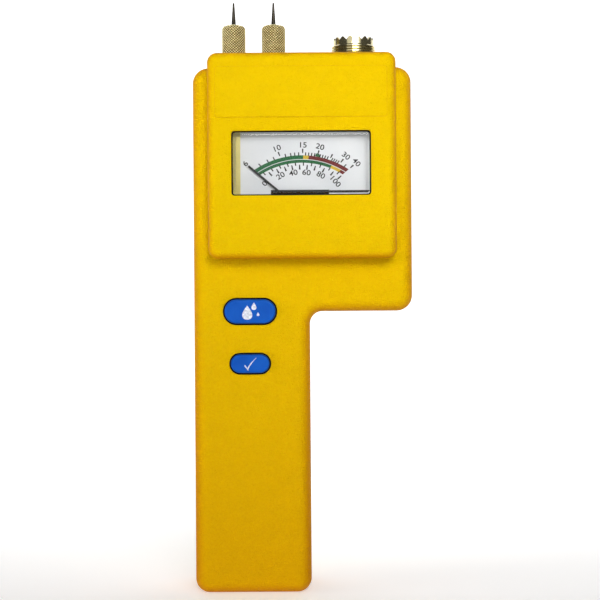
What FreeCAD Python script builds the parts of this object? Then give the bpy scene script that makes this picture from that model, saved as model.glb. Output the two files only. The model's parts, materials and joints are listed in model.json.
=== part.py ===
import FreeCAD, Part
import math
import os
import re
import Sketcher
from FreeCAD import Placement, Rotation, Vector

# Pin-type moisture meter: a yellow two-shell case with a moving-coil meter behind a
# clear window, two push buttons, two needle electrodes and a threaded probe socket.
# +Z runs up the handle to the needles, the face looks along -Y, and the origin is the
# centre of the handle's flat bottom. Millimetres.

DOC = FreeCAD.newDocument("moisture_meter")
SHEET = DOC.addObject("Spreadsheet::Sheet", "dims")
SUBPARTS = []

SIZES = {
    # case outline and shells
    "handle_width": 40.9,
    "head_right": 56.6,
    "head_bottom": 99.0,
    "shoulder_top": 185.1,
    "platform_top": 188.8,
    "face_front": 16.5,
    "case_back": 16.5,
    "parting": 8.5,
    "wall": 2.2,
    "skin": 2.4,
    "roof": 3.5,
    "handle_corner": 5.0,
    "head_corner": 5.5,
    "inner_corner": 4.4,
    "front_round": 4.3,
    "back_round": 2.0,
    "cavity_corner": 3.0,
    # raised block on the head's face
    "block_mid": 17.95,
    "block_width": 65.4,
    "block_bottom": 117.5,
    "block_front": 25.0,
    "block_corner": 3.4,
    "block_round": 2.8,
    "platform_back": 12.9,
    "platform_round": 1.5,
    "plate_mid": 17.7,
    "plate_width": 59.5,
    "plate_bottom": 166.1,
    "plate_height": 17.6,
    "plate_proud": 0.4,
    "plate_corner": 1.0,
    "plate_edge": 0.2,
    # window and its meter
    "window_mid": 17.7,
    "window_width": 48.3,
    "window_middle": 150.3,
    "window_height": 22.4,
    "window_corner": 1.2,
    "window_gap": 0.4,
    "flange_width": 53.5,
    "flange_height": 27.5,
    "flange_corner": 1.5,
    "gasket_thick": 0.6,
    "cover_face": 24.0,
    "cover_flange": 1.2,
    "cover_skin": 1.4,
    "cover_round": 1.0,
    "dial_left": -3.45,
    "dial_right": 43.0,
    "dial_bottom": 137.0,
    "dial_top": 163.4,
    "dial_front": 19.1,
    "dial_thick": 0.5,
    "pivot_across": 17.84,
    "pivot_up": 134.0,
    "pointer_rest": 49.8,
    "pointer_reach": 24.2,
    "pointer_tail": 5.0,
    "pointer_width": 0.75,
    "pointer_thick": 0.25,
    "pointer_front": 19.9,
    "hub_rad": 1.7,
    "staff_rad": 0.4,
    "bridge_left": 7.1,
    "bridge_width": 20.2,
    "bridge_bottom": 127.0,
    "bridge_top": 141.2,
    "bridge_front": 20.75,
    "bridge_thick": 0.5,
    "jewel_rad": 1.2,
    "frame_left": -9.3,
    "frame_width": 54.0,
    "frame_bottom": 120.4,
    "frame_height": 50.1,
    "frame_thick": 1.4,
    "frame_hole": 12.2,
    "box_left": 3.6,
    "box_width": 28.5,
    "box_bottom": 120.4,
    "box_height": 27.4,
    "yoke_rad": 11.8,
    "yoke_bore": 9.4,
    "yoke_front": 15.5,
    "yoke_back": 5.5,
    "core_rad": 6.6,
    "core_front": 14.9,
    "core_back": 6.1,
    "coil_reach": 8.3,
    "coil_bar": 0.9,
    "coil_front": 16.1,
    "coil_back": 4.9,
    "coil_height": 3.2,
    "spring_start": 0.9,
    "spring_strip": 0.12,
    "spring_width": 0.4,
    "spring_step": 0.35,
    "terminal_rad": 1.5,
    "terminal_end": 3.2,
    "meter_screw_span": 49.4,
    "meter_screw_low": 132.5,
    "meter_screw_high": 167.5,
    # push buttons
    "read_mid": -0.6,
    "read_up": 99.1,
    "read_width": 17.9,
    "read_height": 8.4,
    "check_mid": -0.65,
    "check_up": 80.8,
    "check_width": 13.5,
    "check_height": 6.5,
    "hole_margin": 0.63,
    "bezel_margin": 0.53,
    "bore_margin": 0.1,
    "cap_proud": 1.2,
    "cap_round": 0.7,
    "bezel_front": 16.25,
    "bezel_lip": 2.0,
    "bezel_thick": 0.6,
    "cap_flange": 1.2,
    "cap_flange_front": 13.4,
    "stem_rad": 1.5,
    "stem_back": 9.05,
    "plunger_rad": 1.2,
    "plunger_back": 7.0,
    "switch_side": 8.0,
    "switch_front": 8.0,
    "coil_spring_rad": 2.7,
    "coil_spring_wire": 0.25,
    "coil_spring_pitch": 0.9,
    # circuit board
    "board_front": 4.5,
    "board_thick": 1.6,
    "board_width": 34.4,
    "board_bottom": 72.5,
    "board_height": 40.0,
    "board_screw_span": 29.0,
    "board_screw_low": 76.0,
    "board_screw_high": 109.0,
    "board_post_rad": 2.2,
    "small_screw_rad": 0.85,
    "small_head_rad": 1.9,
    "small_head_thick": 1.3,
    "fit_gap": 0.05,
    # case screws
    "boss_rad": 3.0,
    "screw_rad": 1.15,
    "screw_head_rad": 2.4,
    "screw_head_thick": 1.7,
    "head_seat": 14.3,
    "screw_tip": 2.0,
    # needle electrodes
    "left_pin": -6.3,
    "right_pin": 8.05,
    "pin_depth": -2.0,
    "post_rad": 3.0,
    "post_top": 199.0,
    "post_shoulder": 4.4,
    "post_shoulder_thick": 2.6,
    "post_stud": 1.6,
    "post_stud_end": 178.6,
    "nut_flats": 5.5,
    "nut_thick": 1.8,
    "retainer_rad": 4.3,
    "retainer_top": 202.1,
    "retainer_round": 1.6,
    "retainer_gap": 0.1,
    "thread_gap": 0.06,
    "collar_rad": 1.5,
    "collar_thick": 0.8,
    "needle_rad": 0.8,
    "needle_taper": 202.6,
    "needle_point": 0.28,
    "needle_top": 210.3,
    # probe socket
    "socket_mid": 36.8,
    "socket_rad": 7.9375,
    "socket_bore": 6.3,
    "socket_top": 194.2,
    "socket_flange": 9.3,
    "socket_flange_thick": 2.0,
    "ear_rad": 2.3,
    "ear_offset": 7.2,
    "thread_pitch": 0.9407,
    "thread_depth": 0.5,
    "ring_rad": 7.25,
    "ring_bore": 6.3,
    "ring_top": 197.0,
    "tooth_depth": 1.2,
    "tooth_count": 16,
    "insulator_rad": 6.0,
    "insulator_top": 190.0,
    "insulator_end": 177.0,
    "contact_rad": 1.1,
    "contact_bore": 0.7,
    "contact_deep": 5.0,
    "contact_spread": 2.5,
    "contact_top": 190.0,
    "contact_end": 174.0,
    # battery bay
    "battery_width": 26.5,
    "battery_depth": 17.5,
    "battery_front": 4.0,
    "battery_bottom": 3.0,
    "battery_height": 46.0,
    "battery_corner": 2.0,
    "stud_height": 2.4,
    "stud_small": 2.9,
    "stud_large": 3.9,
    "stud_spread": 6.35,
    "snap_gap": 1.2,
    "snap_height": 3.8,
    "snap_width": 26.0,
    "snap_depth": 14.0,
    "door_width": 28.7,
    "door_height": 57.9,
    "door_front": 14.15,
    "door_tongue": 1.1,
    "door_gap": 0.15,
    "rib_width": 16.0,
    "rib_height": 1.1,
    "rib_deep": 0.7,
    "rib_low": 9.0,
    "rib_step": 2.2,
    "rib_count": 5,
    # rating label and leads
    "label_mid": 18.0,
    "label_middle": 142.0,
    "label_width": 40.0,
    "label_height": 24.0,
    "label_thick": 0.25,
    "lead_rad": 0.65,
}


def fill_sheet():
    """One row of the sheet per driving size: its name, then its value."""
    for row, (name, value) in enumerate(SIZES.items(), start=1):
        SHEET.set(f"A{row}", name)
        SHEET.set(f"B{row}", str(value))
        SHEET.setAlias(f"B{row}", name)
    DOC.recompute()


def mm(expression):
    """Value of an expression over the sheet's names."""
    return float(SHEET.evalExpression(str(expression)))


def linked(expression):
    """The same expression, as another object of the document writes it."""
    def prefix(match):
        word = match.group(0)
        return "dims." + word if word in SIZES else word
    return re.sub(r"[a-z][a-z_]*", prefix, str(expression))


def bind(thing, name, expression):
    thing.setExpression(name, linked(expression))


# ---------------------------------------------------------------- Part primitives

AXIS_TURN = {
    "Y": Rotation(Vector(1, 0, 0), -90),
    "Z": Rotation(),
}


def place(thing, corner, turn=None):
    thing.Placement = Placement(Vector(), turn or Rotation())
    for axis, expression in zip("xyz", corner):
        bind(thing, f"Placement.Base.{axis}", expression)
    return thing


def box(corner, size):
    """Box from its lowest corner."""
    thing = DOC.addObject("Part::Box", "Box")
    for name, expression in zip(("Length", "Width", "Height"), size):
        bind(thing, name, expression)
    return place(thing, corner)


def rod(axis, start, radius, length):
    """Cylinder that starts at a point and runs along +axis."""
    thing = DOC.addObject("Part::Cylinder", "Rod")
    bind(thing, "Radius", radius)
    bind(thing, "Height", length)
    return place(thing, start, AXIS_TURN[axis])


def hexagon(start, flats, length):
    """Six-sided prism along +Z, its size given across the flats."""
    thing = DOC.addObject("Part::Prism", "Hexagon")
    thing.Polygon = 6
    bind(thing, "Circumradius", f"({flats}) / sqrt(3)")
    bind(thing, "Height", length)
    return place(thing, start)


def join(*things):
    thing = DOC.addObject("Part::MultiFuse", "Join")
    thing.Shapes = list(things)
    return thing


def trim(base, *tools):
    thing = DOC.addObject("Part::Cut", "Trim")
    thing.Base = base
    thing.Tool = tools[0] if len(tools) == 1 else join(*tools)
    return thing


def group(*things):
    thing = DOC.addObject("Part::Compound", "Group")
    thing.Links = list(things)
    return thing


def rounded(base, radius, chosen):
    """Part fillet of the base's edges that the test chooses."""
    DOC.recompute()
    thing = DOC.addObject("Part::Fillet", "Rounded")
    thing.Base = base
    size = mm(radius)
    picked = [number for number, edge in enumerate(base.Shape.Edges, start=1) if chosen(edge)]
    thing.Edges = [(number, size, size) for number in picked]
    return thing


def subpart(label, thing):
    thing.Label = label
    SUBPARTS.append(thing)
    return thing


# ------------------------------------------------------------- PartDesign helpers

PLANES = {"XY": ("XY_Plane", 1), "XZ": ("XZ_Plane", -1), "YZ": ("YZ_Plane", 1)}


def new_body(label):
    body = DOC.addObject("PartDesign::Body", label)
    return subpart(label, body)


def sketch_on(body, plane, level):
    """Sketch parallel to one of the body's own origin planes, at a height along its axis."""
    role, sign = PLANES[plane]
    sketch = body.newObject("Sketcher::SketchObject", "Sketch")
    origin = [face for face in body.Origin.OriginFeatures if face.Role == role][0]
    sketch.AttachmentSupport = (origin, "")
    sketch.MapMode = "FlatFace"
    bind(sketch, "AttachmentOffset.Base.z", f"{sign} * ({level})")
    return sketch


def fix(sketch, index, point, across, up):
    """Drive one point of the sketch by two expressions."""
    for kind, expression in (("DistanceX", across), ("DistanceY", up)):
        constraint = Sketcher.Constraint(kind, -1, 1, index, point, mm(expression))
        number = sketch.addConstraint(constraint)
        bind(sketch, f"Constraints[{number}]", expression)


def drive(sketch, kind, index, expression):
    number = sketch.addConstraint(Sketcher.Constraint(kind, index, mm(expression)))
    bind(sketch, f"Constraints[{number}]", expression)


def polygon(sketch, corners):
    """Closed outline of straight lines through points given as pairs of expressions."""
    points = [Vector(mm(across), mm(up), 0) for across, up in corners]
    count = len(points)
    first = sketch.GeometryCount
    for number, point in enumerate(points):
        sketch.addGeometry(Part.LineSegment(point, points[(number + 1) % count]), False)
    for number in range(count):
        after = first + (number + 1) % count
        sketch.addConstraint(Sketcher.Constraint("Coincident", first + number, 2, after, 1))
    for number, (across, up) in enumerate(corners):
        fix(sketch, first + number, 1, across, up)


def rectangle(sketch, left, low, width, height):
    right = f"{left} + {width}"
    top = f"{low} + {height}"
    polygon(sketch, [(left, low), (right, low), (right, top), (left, top)])


def circle(sketch, across, up, radius):
    centre = Vector(mm(across), mm(up), 0)
    index = sketch.addGeometry(Part.Circle(centre, Vector(0, 0, 1), mm(radius)), False)
    drive(sketch, "Radius", index, radius)
    fix(sketch, index, 3, across, up)


def rounded_box(sketch, across, up, width, height, radius):
    """Rectangle with round corners, from its middle: four lines, four arcs."""
    middle = Vector(mm(across), mm(up), 0)
    half_x, half_y, arc = mm(width) / 2, mm(height) / 2, mm(radius)
    first = sketch.GeometryCount
    turns = ((1, 1), (-1, 1), (-1, -1), (1, -1))
    for quarter, (side_x, side_y) in enumerate(turns):
        centre = middle + Vector(side_x * (half_x - arc), side_y * (half_y - arc), 0)
        round_line = Part.Circle(centre, Vector(0, 0, 1), arc)
        start = quarter * math.pi / 2
        sketch.addGeometry(Part.ArcOfCircle(round_line, start, start + math.pi / 2), False)
        drive(sketch, "Radius", first + quarter, radius)
        fix(sketch, first + quarter, 3,
            f"{across} + {side_x} * (({width}) / 2 - ({radius}))",
            f"{up} + {side_y} * (({height}) / 2 - ({radius}))")
    for quarter in range(4):
        after = (quarter + 1) % 4
        start = sketch.getPoint(first + quarter, 2)
        end = sketch.getPoint(first + after, 1)
        line = sketch.addGeometry(Part.LineSegment(start, end), False)
        sketch.addConstraint(Sketcher.Constraint("Tangent", first + quarter, 2, line, 1))
        sketch.addConstraint(Sketcher.Constraint("Tangent", line, 2, first + after, 1))


def stadium(sketch, across, up, width, height):
    """Slot outline with half-round ends, from its middle."""
    middle = Vector(mm(across), mm(up), 0)
    arc = mm(height) / 2
    reach = mm(width) / 2 - arc
    ends = []
    for side in (1, -1):
        centre = middle + Vector(side * reach, 0, 0)
        start = -math.pi / 2 if side > 0 else math.pi / 2
        round_end = Part.Circle(centre, Vector(0, 0, 1), arc)
        index = sketch.addGeometry(Part.ArcOfCircle(round_end, start, start + math.pi), False)
        drive(sketch, "Radius", index, f"({height}) / 2")
        fix(sketch, index, 3, f"{across} + {side} * (({width}) - ({height})) / 2", up)
        ends.append(index)
    for one, other in (ends, ends[::-1]):
        start = sketch.getPoint(one, 2)
        end = sketch.getPoint(other, 1)
        line = sketch.addGeometry(Part.LineSegment(start, end), False)
        sketch.addConstraint(Sketcher.Constraint("Tangent", one, 2, line, 1))
        sketch.addConstraint(Sketcher.Constraint("Tangent", line, 2, other, 1))


def volume(body):
    DOC.recompute()
    return body.Shape.Volume


def pad(body, sketch, length, backwards=False):
    """Raise the sketch along its normal: -Y, +Z or +X, or the other way if backwards."""
    feature = body.newObject("PartDesign::Pad", "Pad")
    feature.Profile = sketch
    feature.Reversed = backwards
    bind(feature, "Length", length)
    DOC.recompute()
    return feature


def pocket(body, sketch, length, backwards=False):
    """Cut against the sketch's normal: +Y, -Z or -X, or the other way if backwards."""
    before = volume(body)
    feature = body.newObject("PartDesign::Pocket", "Pocket")
    feature.Profile = sketch
    feature.Reversed = backwards
    bind(feature, "Length", length)
    if volume(body) >= before:
        raise RuntimeError(f"{body.Label}: a pocket cuts nothing")
    return feature


def dress(body, kind, name, expression, chosen):
    """Fillet or chamfer the edges that the test chooses."""
    DOC.recompute()
    base = body.Tip
    numbers = [number for number, edge in enumerate(base.Shape.Edges, start=1) if chosen(edge)]
    if not numbers:
        raise RuntimeError(f"{body.Label}: no edge to dress")
    feature = body.newObject(kind, "Dress")
    feature.Base = (base, [f"Edge{number}" for number in numbers])
    bind(feature, name, expression)
    DOC.recompute()
    return feature


def fillet(body, radius, chosen):
    return dress(body, "PartDesign::Fillet", "Radius", radius, chosen)


NEAR = 0.02


def lies_at(axis, level):
    """Test for edges that lie whole at one level of an axis."""
    def test(edge):
        bounds = edge.BoundBox
        low = getattr(bounds, axis + "Min")
        high = getattr(bounds, axis + "Max")
        return abs(low - level) < NEAR and abs(high - level) < NEAR
    return test


def runs_along_y(spots):
    """Test for straight edges along Y that pass through given (x, z) spots."""
    def test(edge):
        bounds = edge.BoundBox
        if bounds.XLength > NEAR or bounds.ZLength > NEAR:
            return False
        return any(abs(bounds.XMin - mm(across)) < NEAR and abs(bounds.ZMin - mm(up)) < NEAR
                   for across, up in spots)
    return test


# -------------------------------------------------------------------------- case

CASE_SCREWS = ((-14.8, 178.0), (51.0, 178.0), (51.0, 105.2), (-14.6, 65.5), (14.6, 65.5))


def case_corners(inset):
    """The L-shaped outline of the handle and head, moved inwards by an inset."""
    left = f"-handle_width / 2 + {inset}"
    handle_right = f"handle_width / 2 - {inset}"
    right = f"head_right - {inset}"
    top = f"shoulder_top - {inset}"
    low = f"head_bottom + {inset}"
    return [(left, inset), (handle_right, inset), (handle_right, low),
            (right, low), (right, top), (left, top)]


def round_case_corners(body):
    corners = case_corners("0")
    fillet(body, "handle_corner", runs_along_y(corners[0:2]))
    fillet(body, "inner_corner", runs_along_y(corners[2:3]))
    fillet(body, "head_corner", runs_along_y(corners[3:6]))


def add_bosses(body, level, length, spots, radius):
    sketch = sketch_on(body, "XZ", level)
    for across, up in spots:
        circle(sketch, across, up, radius)
    return pad(body, sketch, length)


def drill(body, level, length, spots, radius):
    """Round holes along +Y from a level."""
    sketch = sketch_on(body, "XZ", level)
    for across, up in spots:
        circle(sketch, across, up, radius)
    return pocket(body, sketch, length)


def meter_screw_spots():
    half = "meter_screw_span / 2"
    return [(f"window_mid {sign} {half}", up)
            for sign in "+-" for up in ("meter_screw_low", "meter_screw_high")]


def socket_screw_spots():
    return [("socket_mid + ear_offset", "pin_depth - ear_offset"),
            ("socket_mid - ear_offset", "pin_depth + ear_offset")]


def board_screw_spots():
    half = "board_screw_span / 2"
    return [(f"0 {sign} {half}", up)
            for sign in "+-" for up in ("board_screw_low", "board_screw_high")]


def front_case():
    body = new_body("front_case")
    outline = sketch_on(body, "XZ", "parting")
    polygon(outline, case_corners("0"))
    pad(body, outline, "parting + face_front")
    round_case_corners(body)
    fillet(body, "front_round", lies_at("Y", -mm("face_front")))
    block = sketch_on(body, "XZ", "parting")
    rounded_box(block, "block_mid", "(block_bottom + platform_top) / 2",
                "block_width", "platform_top - block_bottom", "block_corner")
    pad(body, block, "parting + block_front")
    fillet(body, "block_round", lies_at("Y", -mm("block_front")))
    plate = sketch_on(body, "XZ", "plate_edge - block_front")
    rounded_box(plate, "plate_mid", "plate_bottom + plate_height / 2",
                "plate_width", "plate_height", "plate_corner")
    pad(body, plate, "plate_proud + plate_edge")
    fillet(body, "plate_edge", lies_at("Y", -mm("block_front + plate_proud")))

    hollow = sketch_on(body, "XZ", "parting")
    polygon(hollow, case_corners("wall"))
    pocket(body, hollow, "parting + face_front - skin", backwards=True)
    inside = case_corners("wall")
    fillet(body, "cavity_corner", runs_along_y(inside[0:2] + inside[3:6]))
    block_hollow = sketch_on(body, "XZ", "parting")
    rounded_box(block_hollow, "block_mid", "(block_bottom + skin + platform_top - roof) / 2",
                "block_width - 2 * skin", "platform_top - roof - block_bottom - skin",
                "block_corner - skin")
    pocket(body, block_hollow, "parting + block_front - skin", backwards=True)

    add_bosses(body, "parting", "parting + face_front - skin / 2", CASE_SCREWS, "boss_rad")
    add_bosses(body, "-board_front", "face_front - skin / 2 - board_front",
               board_screw_spots(), "board_post_rad")
    add_bosses(body, "dial_thick - dial_front", "block_front - skin / 2 - dial_front",
               meter_screw_spots(), "board_post_rad")
    pilot = sketch_on(body, "XZ", "parting")
    for across, up in CASE_SCREWS:
        circle(pilot, across, up, "screw_rad + fit_gap")
    pocket(body, pilot, "parting + screw_tip + 1", backwards=True)
    board_pilot = sketch_on(body, "XZ", "-board_front")
    for across, up in board_screw_spots():
        circle(board_pilot, across, up, "small_screw_rad + fit_gap")
    pocket(body, board_pilot, "5", backwards=True)
    meter_pilot = sketch_on(body, "XZ", "dial_thick - dial_front")
    for across, up in meter_screw_spots():
        circle(meter_pilot, across, up, "small_screw_rad + fit_gap")
    pocket(body, meter_pilot, "3.6", backwards=True)

    opening = sketch_on(body, "XZ", "-block_front - 1")
    rounded_box(opening, "window_mid", "window_middle", "window_width", "window_height",
                "window_corner")
    pocket(body, opening, "skin + 2")
    buttons = sketch_on(body, "XZ", "-face_front - 1")
    for name in ("read", "check"):
        stadium(buttons, f"{name}_mid", f"{name}_up", f"{name}_width + 2 * hole_margin",
                f"{name}_height + 2 * hole_margin")
    pocket(body, buttons, "skin + 2")
    top = sketch_on(body, "XY", "platform_top + 1")
    for pin in ("left_pin", "right_pin"):
        circle(top, pin, "pin_depth", "post_rad + thread_gap")
    circle(top, "socket_mid", "pin_depth", "socket_rad + thread_gap")
    pocket(body, top, "roof + 2")
    flange_screws = sketch_on(body, "XY", "platform_top - roof")
    for spot in socket_screw_spots():
        circle(flange_screws, *spot, "small_screw_rad + fit_gap")
    pocket(body, flange_screws, "roof - 1", backwards=True)


def rear_case():
    body = new_body("rear_case")
    outline = sketch_on(body, "XZ", "case_back")
    polygon(outline, case_corners("0"))
    pad(body, outline, "case_back - parting")
    round_case_corners(body)
    fillet(body, "back_round", lies_at("Y", mm("case_back")))
    step = sketch_on(body, "XZ", "platform_back")
    rounded_box(step, "block_mid", "(block_bottom + platform_top) / 2",
                "block_width", "platform_top - block_bottom", "block_corner")
    pad(body, step, "platform_back - parting")
    shoulder = mm("shoulder_top")
    back = lies_at("Y", mm("platform_back"))
    fillet(body, "platform_round", lambda edge: back(edge) and edge.BoundBox.ZMax > shoulder + 1)

    hollow = sketch_on(body, "XZ", "parting")
    polygon(hollow, case_corners("wall"))
    pocket(body, hollow, "case_back - skin - parting")
    inside = case_corners("wall")
    fillet(body, "cavity_corner", runs_along_y(inside[0:2] + inside[3:6]))

    add_bosses(body, "case_back - skin / 2", "case_back - skin / 2 - parting",
               CASE_SCREWS, "boss_rad")
    drill(body, "parting - 1", "case_back - parting + 2", CASE_SCREWS, "screw_rad + 0.35")
    drill(body, "head_seat", "case_back - head_seat + 1", CASE_SCREWS, "screw_head_rad + 0.2")

    bay = sketch_on(body, "XZ", "door_front - door_gap")
    rectangle(bay, "-door_width / 2 - door_gap", "-1", "door_width + 2 * door_gap",
              "door_height + door_gap + 1")
    pocket(body, bay, "skin + 1")
    grooves = sketch_on(body, "XZ", "case_back - skin / 2 - 0.6")
    rectangle(grooves, "-door_width / 2 - door_tongue - door_gap", "-1",
              "door_width + 2 * door_tongue + 2 * door_gap", "door_height + door_gap + 1")
    pocket(body, grooves, "1.1")
    recess = sketch_on(body, "XZ", "case_back - label_thick - 0.1")
    rounded_box(recess, "label_mid", "label_middle", "label_width + 0.6", "label_height + 0.6",
                "1.3")
    pocket(body, recess, "1")

    tongue_spots = (
        ("-handle_width / 2 + wall + 0.12", 74, 1.0, 96),
        ("-handle_width / 2 + wall + 0.12", 12, 1.0, 46),
        ("handle_width / 2 - wall - 1.12", 12, 1.0, 46),
        ("head_right - wall - 1.12", 114, 1.0, 56),
    )
    tongues = sketch_on(body, "XZ", "parting + 0.5")
    for left, low, width, height in tongue_spots:
        rectangle(tongues, left, low, width, height)
    rectangle(tongues, 26, "head_bottom + wall + 0.12", 18, 1.0)
    pad(body, tongues, "2.2")
    roots = sketch_on(body, "XZ", "case_back - skin / 2")
    for left, low, width, height in tongue_spots:
        rectangle(roots, left, low, width, height)
    rectangle(roots, 26, "head_bottom + wall + 0.12", 18, 1.0)
    pad(body, roots, "case_back - skin / 2 - parting")


def battery_door():
    body = new_body("battery_door")
    plate = sketch_on(body, "XZ", "case_back")
    rectangle(plate, "-door_width / 2", 0, "door_width", "door_height")
    pad(body, plate, "case_back - door_front")
    low_back = lies_at("Y", mm("case_back"))
    fillet(body, "back_round", lambda edge: low_back(edge) and edge.BoundBox.ZMax < 1)
    tongues = sketch_on(body, "XZ", "case_back - skin / 2 + 0.4")
    rectangle(tongues, "-door_width / 2 - door_tongue", 0.4,
              "door_width + 2 * door_tongue", "door_height - 0.4")
    pad(body, tongues, "0.9")
    grip = sketch_on(body, "XZ", "case_back - rib_deep")
    rectangle(grip, "-rib_width / 2", "rib_low", "rib_width", "rib_height")
    first = pocket(body, grip, "rib_deep + 1")
    pattern = body.newObject("PartDesign::LinearPattern", "Grip")
    pattern.Originals = [first]
    pattern.Direction = (grip, ["V_Axis"])
    bind(pattern, "Length", "rib_step * (rib_count - 1)")
    bind(pattern, "Occurrences", "rib_count")
    body.Tip = pattern
    DOC.recompute()


def case_screws():
    screws = []
    for across, up in CASE_SCREWS:
        shank = rod("Y", (across, "-screw_tip", up), "screw_rad", "head_seat + screw_tip + 0.2")
        head = rod("Y", (across, "head_seat", up), "screw_head_rad", "screw_head_thick")
        slots = [box((f"{across} - 1.5", "head_seat + 0.7", f"{up} - 0.3"), (3.0, 2, 0.6)),
                 box((f"{across} - 0.3", "head_seat + 0.7", f"{up} - 1.5"), (0.6, 2, 3.0))]
        screws.append(trim(join(shank, head), *slots))
    subpart("case_screws", group(*screws))


def rating_label():
    body = new_body("rating_label")
    sheet = sketch_on(body, "XZ", "case_back - 0.1")
    rounded_box(sheet, "label_mid", "label_middle", "label_width", "label_height", "1")
    pad(body, sheet, "label_thick")


# ------------------------------------------------------------------------- meter

def window_frame(label, front, thick, opening_width, opening_height):
    """Flat frame behind the window, as large as the clear cover's flange."""
    body = new_body(label)
    ring = sketch_on(body, "XZ", f"-({front}) + {thick}")
    rounded_box(ring, "window_mid", "window_middle", "flange_width", "flange_height",
                "flange_corner")
    pad(body, ring, thick)
    hole = sketch_on(body, "XZ", f"-({front}) - 1")
    rounded_box(hole, "window_mid", "window_middle", opening_width, opening_height,
                "flange_corner")
    pocket(body, hole, f"{thick} + 2")
    return body


def window_gasket():
    window_frame("window_gasket", "block_front - skin", "gasket_thick",
                 "window_width + 0.8", "window_height + 0.8")


def meter_cover():
    body = new_body("meter_cover")
    flange = sketch_on(body, "XZ", "skin + gasket_thick + cover_flange - block_front")
    rounded_box(flange, "window_mid", "window_middle", "flange_width", "flange_height",
                "flange_corner")
    pad(body, flange, "cover_flange")
    plug = sketch_on(body, "XZ", "skin + gasket_thick - block_front")
    rounded_box(plug, "window_mid", "window_middle", "window_width - 2 * window_gap",
                "window_height - 2 * window_gap", "window_corner")
    pad(body, plug, "cover_face + skin + gasket_thick - block_front")
    fillet(body, "cover_round", lies_at("Y", -mm("cover_face")))
    back = sketch_on(body, "XZ", "-cover_face + cover_skin")
    rounded_box(back, "window_mid", "window_middle", "window_width - 3", "window_height - 3",
                "1")
    pocket(body, back, "4")


def dial_surround():
    body = new_body("dial_surround")
    ring = sketch_on(body, "XZ", "-dial_front")
    rounded_box(ring, "window_mid", "window_middle", "flange_width", "flange_height",
                "flange_corner")
    depth = "block_front - skin - gasket_thick - cover_flange - dial_front"
    pad(body, ring, depth)
    hole = sketch_on(body, "XZ", "-block_front")
    rectangle(hole, "dial_left", "window_middle - flange_height / 2 - 1",
              "dial_right - dial_left", "flange_height - 0.5")
    pocket(body, hole, "block_front")


def dial_plate():
    body = new_body("dial_plate")
    plate = sketch_on(body, "XZ", "dial_thick - dial_front")
    rectangle(plate, "frame_left + 1", "dial_bottom", "frame_width - 2", "dial_top - dial_bottom")
    pad(body, plate, "dial_thick")
    notch = sketch_on(body, "XZ", "-dial_front - 1")
    circle(notch, "pivot_across", "pivot_up", "5")
    pocket(body, notch, "dial_thick + 2")


def meter_frame():
    body = new_body("meter_frame")
    plate = sketch_on(body, "XZ", "dial_thick + frame_thick - dial_front")
    rectangle(plate, "frame_left", "frame_bottom", "frame_width", "frame_height")
    pad(body, plate, "frame_thick")
    rear_box = sketch_on(body, "XZ", "0")
    rectangle(rear_box, "box_left", "box_bottom", "box_width", "box_height")
    pad(body, rear_box, "dial_front - dial_thick - frame_thick + 0.2")
    hollow = sketch_on(body, "XZ", "-1.4")
    rectangle(hollow, "box_left + 1.4", "box_bottom + 1.4", "box_width - 2.8",
              "box_height - 2.8")
    pocket(body, hollow, "dial_front - dial_thick - frame_thick - 1.4", backwards=True)
    drill(body, "-dial_front", "dial_thick + frame_thick + 0.6",
          [("pivot_across", "pivot_up")], "frame_hole")
    drill(body, "-dial_front", "dial_thick + frame_thick + 1", meter_screw_spots(),
          "small_screw_rad + 0.2")
    drill(body, "-2", "3", terminal_spots(), "terminal_rad + fit_gap")


def terminal_spots():
    return [(f"pivot_across {sign} 9", "box_bottom + 5") for sign in "+-"]


def yoke():
    ring = rod("Y", ("pivot_across", "-yoke_front", "pivot_up"), "yoke_rad",
               "yoke_front - yoke_back")
    bore = rod("Y", ("pivot_across", "-yoke_front - 1", "pivot_up"), "yoke_bore",
               "yoke_front - yoke_back + 2")
    subpart("meter_yoke", trim(ring, bore))


def magnet():
    subpart("core_magnet", rod("Y", ("pivot_across", "-core_front", "pivot_up"), "core_rad",
                               "core_front - core_back"))


def magnet_spacers():
    """Brass blocks above and below the core magnet, where the coil never swings."""
    post = box(("pivot_across - 1.5", "-core_front", "pivot_up - yoke_rad"),
               (3, "core_front - core_back", "2 * yoke_rad"))
    core = rod("Y", ("pivot_across", "-core_front - 1", "pivot_up"), "core_rad",
               "core_front - core_back + 2")
    gap = rod("Y", ("pivot_across", "-core_front", "pivot_up"), "yoke_bore",
              "core_front - core_back")
    inside = DOC.addObject("Part::Common", "Spacers")
    inside.Base = trim(post, core)
    inside.Tool = gap
    subpart("magnet_spacers", inside)


def moving_coil():
    """Rectangular coil frame round the core, tilted to where the pointer rests."""
    outer = box(("-coil_reach", "-coil_front", "-coil_height / 2"),
                ("2 * coil_reach", "coil_front - coil_back", "coil_height"))
    inner = box(("coil_bar - coil_reach", "0.8 - coil_front", "-coil_height"),
                ("2 * (coil_reach - coil_bar)", "coil_front - coil_back - 1.6",
                 "2 * coil_height"))
    coil = trim(outer, inner)
    place(coil, ("pivot_across", 0, "pivot_up"), Rotation(Vector(0, 1, 0), -mm("pointer_rest")))
    subpart("moving_coil", coil)


def pointer():
    """Slim bar with a hub and a counterweight, resting at the left end of the scale."""
    blade = box(("-pointer_width / 2", "-pointer_front", 0),
                ("pointer_width", "pointer_thick", "pointer_reach"))
    tail = box(("-pointer_width", "-pointer_front", "-pointer_tail"),
               ("2 * pointer_width", "pointer_thick", "pointer_tail"))
    hub = rod("Y", (0, "-pointer_front", 0), "hub_rad", "1.2")
    needle = join(blade, tail, hub)
    place(needle, ("pivot_across", 0, "pivot_up"), Rotation(Vector(0, 1, 0), -mm("pointer_rest")))
    subpart("pointer", needle)


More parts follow.
